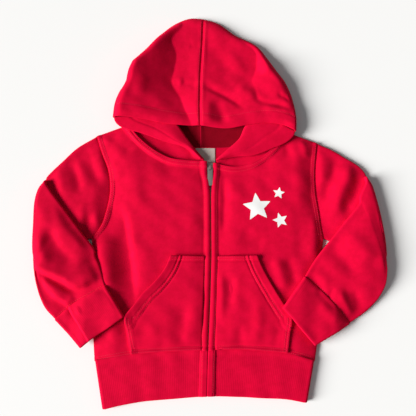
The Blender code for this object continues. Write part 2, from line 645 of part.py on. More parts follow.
# ------------------------------------------------------------------------ zip
def box_mesh(bm, x0, x1, y0, y1, z0, z1):
    v = [bm.verts.new(p) for p in ((x0, y0, z0), (x1, y0, z0), (x1, y1, z0), (x0, y1, z0),
                                   (x0, y0, z1), (x1, y0, z1), (x1, y1, z1), (x0, y1, z1))]
    for f in ((0, 3, 2, 1), (4, 5, 6, 7), (0, 1, 5, 4), (1, 2, 6, 5), (2, 3, 7, 6), (3, 0, 4, 7)):
        bm.faces.new([v[k] for k in f])


def ribbon(name, rows, z0, z1, material):
    """Strip given by rows of (x0, x1, y)."""
    bm = bmesh.new()
    rings = []
    for x0, x1, y in rows:
        rings.append([bm.verts.new(p) for p in ((x0, y, z0), (x1, y, z0), (x1, y, z1), (x0, y, z1))])
    for a, b in zip(rings, rings[1:]):
        for k in range(4):
            bm.faces.new((a[k], a[(k + 1) % 4], b[(k + 1) % 4], b[k]))
    bm.faces.new(rings[0][::-1])
    bm.faces.new(rings[-1])
    return finish(bm, name, material)


SLIDER_Y0, SLIDER_Y1, SLIDER_X = 39.0, 54.0, 0.8
SLIDER_WIDE, SLIDER_NARROW = 4.3, 3.0
SLIDER_Z0, SLIDER_Z1 = 3.7, 8.0
HINGE_Y, HINGE_Z = 46.5, 9.0
LUG_HALF, LUG_REACH, LUG_TOP, LUG_T = 1.1, 2.9, 10.9, 0.9
PIN_R, PULL_HALF, PULL_T, PULL_LONG, EYE = 0.6, 3.7, 1.2, 27.0, 4.2
CHAIN_TOP_Y = SLIDER_Y0 - 0.5


def build_tape(side, material):
    sign = -1 if side == "right" else 1
    rows = []
    for y in (-269.0, -204.0, -143.0, -83.0, 6.0, 33.0, 38.0, 50.0):
        m, wide = zip_middle(y), TAPE_IN if y < 35 else SLIDER_WIDE + 0.6
        a, b = m + sign * wide, m + sign * TAPE_OUT
        rows.append((min(a, b), max(a, b), y))
    return ribbon("zip_tape_" + side, rows, TAPE_Z, TAPE_Z + TAPE_T, material)


def build_chain(material):
    rows = [(zip_middle(y) - CHAIN_HALF, zip_middle(y) + CHAIN_HALF, y)
            for y in (-268.0, -204.0, -143.0, -83.0, 6.0, 33.0, CHAIN_TOP_Y)]
    return ribbon("zip_chain", rows, CHAIN_Z, CHAIN_Z + CHAIN_T, material)


def union(obj, parts):
    for part in parts:
        m = obj.modifiers.new("join", "BOOLEAN")
        m.operation, m.solver, m.object = "UNION", "EXACT", part
    dg = bpy.context.evaluated_depsgraph_get()
    mesh = bpy.data.meshes.new_from_object(obj.evaluated_get(dg))
    obj.modifiers.clear()
    old, obj.data = obj.data, mesh
    bpy.data.meshes.remove(old)
    for part in parts:
        bpy.data.objects.remove(part)
    return obj


def prism(name, outline, z0, z1, material, origin):
    bm = bmesh.new()
    lo = [bm.verts.new((x, y, z0)) for x, y in outline]
    hi = [bm.verts.new((x, y, z1)) for x, y in outline]
    n = len(outline)
    for k in range(n):
        bm.faces.new((lo[k], lo[(k + 1) % n], hi[(k + 1) % n], hi[k]))
    bm.faces.new(lo[::-1])
    bm.faces.new(hi)
    return finish(bm, name, material, origin)


def block(name, x0, x1, y0, y1, z0, z1, material, origin):
    bm = bmesh.new()
    box_mesh(bm, x0, x1, y0, y1, z0, z1)
    return finish(bm, name, material, origin)


def build_slider(material):
    o = (SLIDER_X, (SLIDER_Y0 + SLIDER_Y1) / 2, SLIDER_Z0)
    y0, y1, w, m = SLIDER_Y0, SLIDER_Y1, SLIDER_WIDE, SLIDER_NARROW
    plan = [(SLIDER_X + x, y) for x, y in ((-m, y0), (m, y0), (w, y0 + 6), (w, y1 - 1.5), (w - 1.5, y1),
                                           (-w + 1.5, y1), (-w, y1 - 1.5), (-w, y0 + 6))]
    base = prism("zip_slider", plan, SLIDER_Z0, SLIDER_Z1, material, o)
    x0, x1 = SLIDER_X - LUG_HALF, SLIDER_X + LUG_HALF
    a, b = HINGE_Y - LUG_REACH, HINGE_Y + LUG_REACH
    posts = [block("post_a", x0, x1, a, a + LUG_T, SLIDER_Z1 - 0.5, LUG_TOP - 0.3, material, o),
             block("post_b", x0, x1, b - LUG_T, b, SLIDER_Z1 - 0.5, LUG_TOP - 0.3, material, o),
             block("post_c", x0, x1, a, b, LUG_TOP - LUG_T, LUG_TOP, material, o)]
    return union(base, posts)


def build_pull(material):
    """Tab whose cross bar passes under the slider's lug and turns there."""
    o = (SLIDER_X, HINGE_Y, HINGE_Z)
    x, y, z, h = SLIDER_X, HINGE_Y, HINGE_Z, PULL_HALF
    arm = LUG_HALF + 0.5
    tip = y - PULL_LONG
    plan = [(x - h, y - EYE), (x - h, tip + 3.0)]
    plan += [(x - h * math.cos(t), tip + 3.0 - 3.0 * math.sin(t)) for t in (0.5, 1.05, 1.57, 2.09, 2.64)]
    plan += [(x + h, tip + 3.0), (x + h, y - EYE)]
    plate = prism("zip_pull", plan, z - PULL_T / 2, z + PULL_T / 2, material, o)
    parts = []
    for s in (-1, 1):
        a, b = x + s * arm, x + s * h
        parts.append(block("arm", min(a, b), max(a, b), y - EYE - 0.5, y, z - PULL_T / 2 + 0.02,
                           z + PULL_T / 2 - 0.02, material, o))
    bm = bmesh.new()
    sides = 12
    rings = []
    for xx in (x - h + 0.3, x + h - 0.3):
        rings.append([bm.verts.new((xx, y + PIN_R * math.cos(2 * math.pi * k / sides),
                                    z + PIN_R * math.sin(2 * math.pi * k / sides))) for k in range(sides)])
    for k in range(sides):
        bm.faces.new((rings[0][k], rings[0][(k + 1) % sides], rings[1][(k + 1) % sides], rings[1][k]))
    bm.faces.new(rings[0][::-1])
    bm.faces.new(rings[1])
    parts.append(finish(bm, "bar", material, o))
    return union(plate, parts)


def build_label(material):
    """Blank woven label sewn inside the back neck."""
    return ribbon("neck_label", [(-20.6, 8.0, 43.0), (-20.8, 8.0, 61.0), (-20.8, 8.1, 77.4)],
                  LABEL_Z, LABEL_Z + LABEL_T, material)


# ---------------------------------------------------------------------- build
for old in list(bpy.data.objects):
    bpy.data.objects.remove(old)

jersey = paint("red_jersey", (0.62, 0.01, 0.05), 0.9)
rib = paint("red_rib", (0.60, 0.01, 0.05), 0.9)
tape = paint("red_tape", (0.45, 0.01, 0.04), 0.8)
steel = paint("zip_metal", (0.62, 0.61, 0.58), 0.35, 1.0)
woven = paint("label_cloth", (0.62, 0.55, 0.47), 0.8)

build_back(jersey)
for which in ("right", "left"):
    build_front(which, jersey)
    build_pocket(which, jersey)
    build_sleeve(which, jersey)
    build_cuff(which, rib)
    build_hood(which, jersey)
    build_tape(which, tape)
build_band(rib)
build_chain(steel)
build_slider(steel)
build_pull(steel)
build_label(woven)
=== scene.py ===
"""Child's red zip hoodie laid flat: the looks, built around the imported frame."""
import math
from collections import namedtuple

import bmesh
import bpy
import numpy as np
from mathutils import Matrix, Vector
from mathutils.bvhtree import BVHTree


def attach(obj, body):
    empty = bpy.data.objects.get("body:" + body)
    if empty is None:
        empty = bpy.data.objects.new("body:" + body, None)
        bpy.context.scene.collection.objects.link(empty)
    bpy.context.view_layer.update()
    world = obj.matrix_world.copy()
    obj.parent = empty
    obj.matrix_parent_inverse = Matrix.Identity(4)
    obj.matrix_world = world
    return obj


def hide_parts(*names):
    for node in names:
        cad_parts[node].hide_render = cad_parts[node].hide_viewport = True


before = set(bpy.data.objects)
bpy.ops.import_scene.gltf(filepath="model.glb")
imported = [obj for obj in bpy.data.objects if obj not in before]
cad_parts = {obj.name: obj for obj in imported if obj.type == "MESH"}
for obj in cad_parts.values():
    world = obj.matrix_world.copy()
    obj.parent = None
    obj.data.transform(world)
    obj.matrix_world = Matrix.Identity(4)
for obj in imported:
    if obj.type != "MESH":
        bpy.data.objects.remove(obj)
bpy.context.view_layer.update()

# ------------------------------------------------------------ sizes, as in the frame (millimetres)

MM = 0.001
SHIFT_X, SHIFT_Y = 0.9, 1.4       # brings the middle of the laid-out garment to the origin
WALL = 2.0                        # brushed jersey, one layer
RIB_WALL = 3.0                    # rib, folded double
GAP = 0.4                         # between pieces at a seam
BAND_GAP = 1.5                    # same, at the curved hem seam
LOW = WALL / 2                    # middle height of a layer lying on the floor
FRONT_MID = 6.2                   # middle height of the front panels
EDGE_MID = 3.4                    # middle height of the fronts where they meet the back
EDGE_RISE = 11.0                  # distance over which the fronts rise from their outer edge
BAND_BACK_MID, BAND_FRONT_MID = 1.5, 6.6
POCKET_LIFT = WALL + 0.4
LABEL_Z, LABEL_T = 2.4, 0.85
TAPE_Z, TAPE_T, TAPE_IN, TAPE_OUT = 3.6, 1.0, 2.4, 13.5
CHAIN_Z, CHAIN_T, CHAIN_HALF = 3.4, 1.3, 2.0
Side = namedtuple("Side", "y right left")                  # body side edge, hem seam to underarm
SIDES = [Side(-225.2, -157.8, 144.0), Side(-198.0, -160.3, 148.8), Side(-143.0, -163.7, 153.5),
         Side(-90.0, -166.4, 158.3), Side(-56.0, -167.4, 161.9)]
Arm = namedtuple("Arm", "right_x right_y left_x left_y")   # armhole seam, underarm to shoulder
ARMHOLE = [Arm(-167.4, -56.0, 161.9, -56.0), Arm(-155.3, -38.2, 159.4, -41.7),
           Arm(-148.5, -16.9, 157.2, -21.3), Arm(-143.7, 15.0, 153.0, 15.0),
           Arm(-147.3, 43.7, 153.6, 45.0), Arm(-156.8, 68.1, 156.0, 67.0),
           Arm(-166.1, 95.1, 158.4, 84.0)]
Neck = namedtuple("Neck", "right_x right_y left_x left_y")
NECK_FRONT = [Neck(-120.7, 112.4, 111.4, 102.4), Neck(-103.2, 90.9, 100.7, 85.6),
              Neck(-87.5, 77.2, 88.6, 71.9), Neck(-72.6, 67.4, 73.8, 59.8),
              Neck(-57.9, 60.6, 57.6, 51.5), Neck(-31.5, 56.8, 38.5, 47.8),
              Neck(-4.6, 55.3, 5.8, 53.0)]
NECK_BACK = [Neck(-120.7, 112.4, 111.4, 102.4), Neck(-88.5, 93.6, 67.4, 85.9),
             Neck(-51.2, 81.3, 30.3, 79.0), Neck(-12.7, 78.2, -12.7, 78.2)]
Hem = namedtuple("Hem", "x seam_y edge_x edge_y")          # rib band, wearer's right to left
HEM = [Hem(-157.8, -225.2, -145.8, -288.2), Hem(-136.0, -221.0, -133.7, -285.0),
       Hem(-104.0, -216.0, -97.3, -277.9), Hem(-58.7, -212.6, -50.0, -273.6),
       Hem(-3.4, -210.8, -3.7, -270.3), Hem(41.8, -209.6, 41.2, -271.0),
       Hem(75.0, -212.0, 73.8, -272.7), Hem(107.8, -215.0, 102.3, -274.0),
       Hem(144.0, -225.2, 132.7, -279.2)]
Zip = namedtuple("Zip", "y middle half_gap")               # opening between the two fronts
ZIP = [Zip(-271.0, -3.7, 1.0), Zip(-204.0, -2.0, 1.3), Zip(-143.0, 0.5, 1.4), Zip(-83.0, 2.2, 1.4),
       Zip(6.0, 1.8, 1.5), Zip(28.0, 1.4, 3.2), Zip(37.0, 0.9, 5.1), Zip(56.0, 0.7, 5.3)]
Pocket = namedtuple("Pocket", "y right left")              # outer edge of the pouch pockets
POCKET = [Pocket(-82.0, -54.5, 66.3), Pocket(-98.0, -61.3, 72.9), Pocket(-116.4, -74.7, 82.6),
          Pocket(-135.7, -93.9, 93.9), Pocket(-151.0, -105.2, 103.3), Pocket(-165.5, -116.0, 112.3),
          Pocket(-190.4, -112.4, 109.2), Pocket(-215.4, -107.0, 106.4)]
POCKET_UP = 1.0                                            # its lower edge above the hem seam
POCKET_INNER = 7.0                                         # from the zip middle to the pocket
Edge = namedtuple("Edge", "right_x right_y left_x left_y")
ARM_TOP = [Edge(-166.6, 95.7, 159.2, 84.2), Edge(-198.3, 75.8, 179.0, 75.8),
           Edge(-216.6, 57.6, 199.0, 63.7), Edge(-233.3, 41.0, 221.8, 48.5),
           Edge(-243.0, 30.0, 232.5, 35.0)]
ARM_UNDER = [Edge(-167.9, -56.6, 162.5, -56.6), Edge(-185.3, -62.9, 186.3, -67.2),
             Edge(-210.6, -72.9, 208.6, -77.2), Edge(-234.2, -84.3, 231.0, -85.7),
             Edge(-246.0, -91.0, 248.0, -93.5)]
ARM_FOLD = [Edge(-243.0, 30.0, 232.5, 35.0), Edge(-251.0, 8.0, 240.2, 6.0),
            Edge(-253.0, -39.1, 247.6, -31.9), Edge(-252.6, -66.0, 251.0, -62.0),
            Edge(-249.6, -92.5, 251.6, -94.8)]
FORE_TOP = [Edge(-243.0, 24.0, 231.5, 26.0), Edge(-233.4, 10.1, 216.7, -3.0),
            Edge(-212.1, -17.4, 191.1, -34.5), Edge(-182.1, -55.8, 168.9, -61.4),
            Edge(-157.1, -88.0, 151.3, -82.4), Edge(-144.7, -123.2, 132.2, -110.9)]
FORE_UNDER = [Edge(-249.6, -92.5, 251.6, -94.8), Edge(-244.5, -118.2, 246.6, -123.7),
              Edge(-239.3, -136.1, 237.3, -140.2), Edge(-231.4, -152.5, 221.1, -156.6),
              Edge(-215.4, -169.4, 194.5, -174.9)]
CUFF_SEAM = [Edge(-144.7, -123.8, 132.2, -111.5), Edge(-168.0, -137.0, 150.0, -126.0),
             Edge(-192.0, -150.5, 172.0, -149.0), Edge(-214.6, -170.2, 193.8, -175.6)]
CUFF_END = [Edge(-117.3, -163.6, 100.7, -152.3), Edge(-138.0, -178.6, 113.0, -166.0),
            Edge(-161.0, -193.5, 129.0, -185.0), Edge(-178.4, -207.2, 145.5, -204.2)]
ARM_PAD, ARM_EDGE = 2.2, 1.6      # half distance between the two layers, middle and edge
FOLD_IN = 2.65                    # inner radius of the sleeve's turn
FORE_DROP = 6.5                   # how far the cuff's outer corner sinks towards the floor
CUFF_LIFT = 1.7                   # how far its inner corner rides over the pocket
Rim = namedtuple("Rim", "right_x right_y left_x left_y")   # hood outline, mouth corner to crown
HOOD_SIDE = [Rim(-143.0, 123.0, 127.5, 101.5), Rim(-141.0, 141.6, 128.2, 118.0),
             Rim(-135.6, 160.4, 125.4, 141.6), Rim(-127.1, 179.4, 122.0, 160.4),
             Rim(-124.5, 195.4, 115.0, 179.4), Rim(-118.5, 210.5, 101.9, 198.6)]
HOOD_TOP = [Rim(-118.5, 210.5, 101.9, 198.6), Rim(-101.1, 227.7, 88.7, 218.0),
            Rim(-75.7, 257.1, 73.8, 237.5), Rim(-49.9, 277.0, 39.0, 257.1),
            Rim(-30.0, 284.6, 11.5, 277.0), Rim(-9.0, 283.6, -9.0, 283.6)]
HOOD_MOUTH = [Rim(-143.0, 123.0, 127.5, 101.5), Rim(-117.6, 121.6, 108.5, 110.8),
              Rim(-96.9, 118.9, 86.0, 114.2), Rim(-72.7, 114.3, 58.0, 111.5),
              Rim(-45.7, 111.3, 26.0, 106.0), Rim(-13.3, 109.8, -13.3, 109.8)]
HOOD_HEM = [Rim(-143.0, 123.0, 127.5, 101.5), Rim(-134.0, 109.0, 118.0, 88.0),
            Rim(-103.6, 100.3, 94.1, 76.8), Rim(-59.3, 84.4, 62.0, 65.0),
            Rim(-38.8, 78.6, 38.5, 63.5), Rim(-16.0, 60.5, 16.0, 59.0)]
HOOD_ROLL = [Rim(-88.0, 139.0, 76.0, 127.0), Rim(-49.4, 113.4, 55.1, 112.6),
             Rim(-34.5, 92.0, 44.0, 90.0), Rim(-21.3, 73.8, 29.1, 75.8),
             Rim(-8.6, 59.2, 9.8, 58.6)]
HOOD_TUCK = [Rim(-56.0, 139.0, 46.0, 127.0), Rim(-80.0, 129.5, 72.0, 119.0),
             Rim(-104.0, 121.2, 95.0, 111.8), Rim(-118.6, 115.2, 109.2, 105.2)]
SeamRow = namedtuple("SeamRow", "y x")                     # centre seam of the hood
HOOD_SEAM = [SeamRow(79.0, -12.7), SeamRow(109.8, -13.3), SeamRow(139.0, -14.0),
             SeamRow(190.0, -13.5), SeamRow(240.0, -10.5), SeamRow(283.6, -9.0)]
TUCK_LOW, TUCK_MID, TUCK_HIGH = LOW, 4.8, 10.0             # three stacked layers beside the neck
HOOD_EDGE = 1.7                   # half distance between the hood's layers along its rim
HOOD_LOFT, HOOD_LOFT_RUN = 13.0, 46.0


def spline(points, count):
    """Smooth curve through the points, cut into `count` equal lengths."""
    p = np.array(points, float)
    if len(p) > 2:
        h = np.linalg.norm(np.diff(p, axis=0), axis=1)
        slope = np.diff(p, axis=0) / h[:, None]
        m = np.empty_like(p)
        m[0], m[-1] = slope[0], slope[-1]
        m[1:-1] = (slope[1:] * h[:-1, None] + slope[:-1] * h[1:, None]) / (h[1:] + h[:-1])[:, None]
        t = np.linspace(0, 1, 24, endpoint=False)[:, None]
        runs = []
        for k in range(len(p) - 1):
            a, b = m[k] * h[k], m[k + 1] * h[k]
            runs.append((2 * t**3 - 3 * t**2 + 1) * p[k] + (t**3 - 2 * t**2 + t) * a
                        + (3 * t**2 - 2 * t**3) * p[k + 1] + (t**3 - t**2) * b)
        p = np.vstack(runs + [p[-1:]])
    s = np.concatenate([[0], np.cumsum(np.linalg.norm(np.diff(p, axis=0), axis=1))])
    want = np.linspace(0, s[-1], count + 1)
    return np.column_stack([np.interp(want, s, p[:, k]) for k in range(p.shape[1])])


def join(*runs):
    out = [runs[0]]
    for r in runs[1:]:
        out.append(r[1:])
    return np.vstack(out)


def pick(table, side):
    """x, y columns of a table for the wearer's right or left."""
    return [(getattr(r, side + "_x"), getattr(r, side + "_y")) for r in table]


def coons(bottom, top, left, right):
    """Grid [row][column] filling four joined edges."""
    ni, nj = len(bottom) - 1, len(left) - 1
    g = np.zeros((nj + 1, ni + 1, bottom.shape[1]))
    for j in range(nj + 1):
        v = j / nj
        for i in range(ni + 1):
            u = i / ni
            g[j, i] = ((1 - v) * bottom[i] + v * top[i] + (1 - u) * left[j] + u * right[j]
                       - (1 - u) * (1 - v) * bottom[0] - u * (1 - v) * bottom[-1]
                       - (1 - u) * v * top[0] - u * v * top[-1])
    return g


def step(t):
    t = np.clip(t, 0.0, 1.0)
    return t * t * (3 - 2 * t)


def zip_middle(y):
    t = sorted(ZIP)
    return float(np.interp(y, [r.y for r in t], [r.middle for r in t]))


def zip_gap(y):
    t = sorted(ZIP)
    return float(np.interp(y, [r.y for r in t], [r.half_gap for r in t]))


def body_side(side, n_side, n_arm):
    """Side edge and armhole of a body panel, hem seam to shoulder."""
    edge = spline([(getattr(r, side), r.y) for r in SIDES], n_side)
    return join(edge, spline(pick(ARMHOLE, side), n_arm))


def shoulder(side, n):
    a, b = pick(ARMHOLE, side)[-1], pick(NECK_FRONT, side)[0]
    return spline([a, b], n)
OUTER = {s: join(body_side(s, 10, 12), shoulder(s, 4)) for s in ("right", "left")}


def hem_line(x0, x1, count, edge=False):
    """Points along the hem seam (or the band's free edge) between two x positions."""
    pts = spline([((r.edge_x, r.edge_y) if edge else (r.x, r.seam_y)) for r in HEM], 60)
    xs = np.linspace(x0, x1, count + 1)
    return np.column_stack([xs, np.interp(xs, pts[:, 0], pts[:, 1])])


def inset(line, amount, toward):
    """Move a plan line sideways towards a point."""
    out = []
    for k, p in enumerate(line):
        a, b = line[max(k - 1, 0)], line[min(k + 1, len(line) - 1)]
        d = (b - a) / np.linalg.norm(b - a)
        n = np.array([-d[1], d[0]])
        if np.dot(n, np.array(toward) - p) < 0:
            n = -n
        out.append(p + n * amount)
    return np.array(out)


def shrink_ends(line, amount):
    """Shorten a plan line at both ends."""
    line = np.array(line)
    s = np.concatenate([[0], np.cumsum(np.linalg.norm(np.diff(line, axis=0), axis=1))])
    want = np.interp(np.linspace(0, 1, len(line)), [0, 1], [amount, s[-1] - amount])
    return np.column_stack([np.interp(want, s, line[:, k]) for k in range(2)])


def fore_height(x, y):
    """Rise and fall of the folded-over forearm: sinks off the body, rides over the pocket."""
    off = step((abs(x) - 170.0) / 26.0) * step((-104.0 - y) / 50.0)
    on = step((150.0 - abs(x)) / 26.0)
    return CUFF_LIFT * on - FORE_DROP * off


def loop(plan, height, half, normal, out_a, out_b, rim):
    """Closed ring round a flattened tube: far layer, rim, near layer, rim."""
    n = len(plan) - 1
    centre = [np.array([plan[i][0], plan[i][1], height[i]]) for i in range(n + 1)]
    ring = [centre[i] + normal[i] * half[i] for i in range(n + 1)]
    for k in range(1, rim):
        a = math.pi * k / rim
        ring.append(centre[n] + half[n] * (math.cos(a) * normal[n] + math.sin(a) * out_b))
    ring += [centre[i] - normal[i] * half[i] for i in range(n, -1, -1)]
    for k in range(1, rim):
        a = math.pi * k / rim
        ring.append(centre[0] + half[0] * (-math.cos(a) * normal[0] + math.sin(a) * out_a))
    ring.append(ring[0])
    return ring


def unit(v):
    return v / np.linalg.norm(v)


def ends(plan):
    a, b = plan[0] - plan[1], plan[-1] - plan[-2]
    return np.append(unit(a), 0.0), np.append(unit(b), 0.0)
UP = np.array([0.0, 0.0, 1.0])
CUFF_HALF = 1.8


def seam_x(y):
    return float(np.interp(y, [r.y for r in HOOD_SEAM], [r.x for r in HOOD_SEAM]))


def hood_floor(x, y, side):
    """Middle height of the hood's lower layer above the tuck."""
    row_x = -72.0 if side == "right" else 61.0
    row_y = 139.0 if side == "right" else 127.0
    beside = step((abs(x) - abs(row_x) + 16.0) / 32.0)
    near = 1 - step((y - row_y) / 48.0)
    return TUCK_LOW + (TUCK_HIGH - TUCK_LOW) * beside * near


def tuck_profile(c, f, r, e, weight, n):
    """One cross line of the side tuck: in to the tuck, back to the roll, out to the hem.

    weight is not used: every line is a full three-layer tuck.
    """
    r1, r2 = (TUCK_MID - TUCK_LOW) / 2, (TUCK_HIGH - TUCK_MID) / 2
    d1 = unit(f - c)
    d2 = unit(r - f) if weight > 0.01 else -d1
    d3 = unit(r - e)
    pts = []
    for k in range(n.base):
        p = c + (f - d1 * r1 - c) * k / n.base
        pts.append((p[0], p[1], TUCK_LOW))
    for k in range(n.turn + 1):
        a = math.pi * k / n.turn
        p = f - d1 * r1 + d1 * r1 * math.sin(a)
        pts.append((p[0], p[1], TUCK_LOW + r1 - r1 * math.cos(a)))
    start, stop = f - d1 * r1, r - d3 * r2
    for k in range(1, n.mid):
        p = start + (stop - start) * k / n.mid
        pts.append((p[0], p[1], TUCK_MID))
    for k in range(n.turn + 1):
        a = math.pi * k / n.turn
        p = r - d3 * r2 + d3 * r2 * math.sin(a)
        pts.append((p[0], p[1], TUCK_MID + r2 - r2 * math.cos(a)))
    for k in range(1, n.flap + 1):
        p = r - d3 * r2 + (e - (r - d3 * r2)) * k / n.flap
        pts.append((p[0], p[1], TUCK_HIGH))
    return np.array(pts)
Count = namedtuple("Count", "base turn mid flap rows side rim")
HOOD_COUNT = Count(base=4, turn=3, mid=4, flap=4, rows=6, side=5, rim=3)
SLIDER_Y0, SLIDER_Y1, SLIDER_X = 39.0, 54.0, 0.8
SLIDER_WIDE, SLIDER_NARROW = 4.3, 3.0
SLIDER_Z0, SLIDER_Z1 = 3.7, 8.0
HINGE_Y, HINGE_Z = 46.5, 9.0
LUG_HALF, LUG_REACH, LUG_TOP, LUG_T = 1.1, 2.9, 10.9, 0.9
PIN_R, PULL_HALF, PULL_T, PULL_LONG, EYE = 0.6, 3.7, 1.2, 27.0, 4.2
CHAIN_TOP_Y = SLIDER_Y0 - 0.5

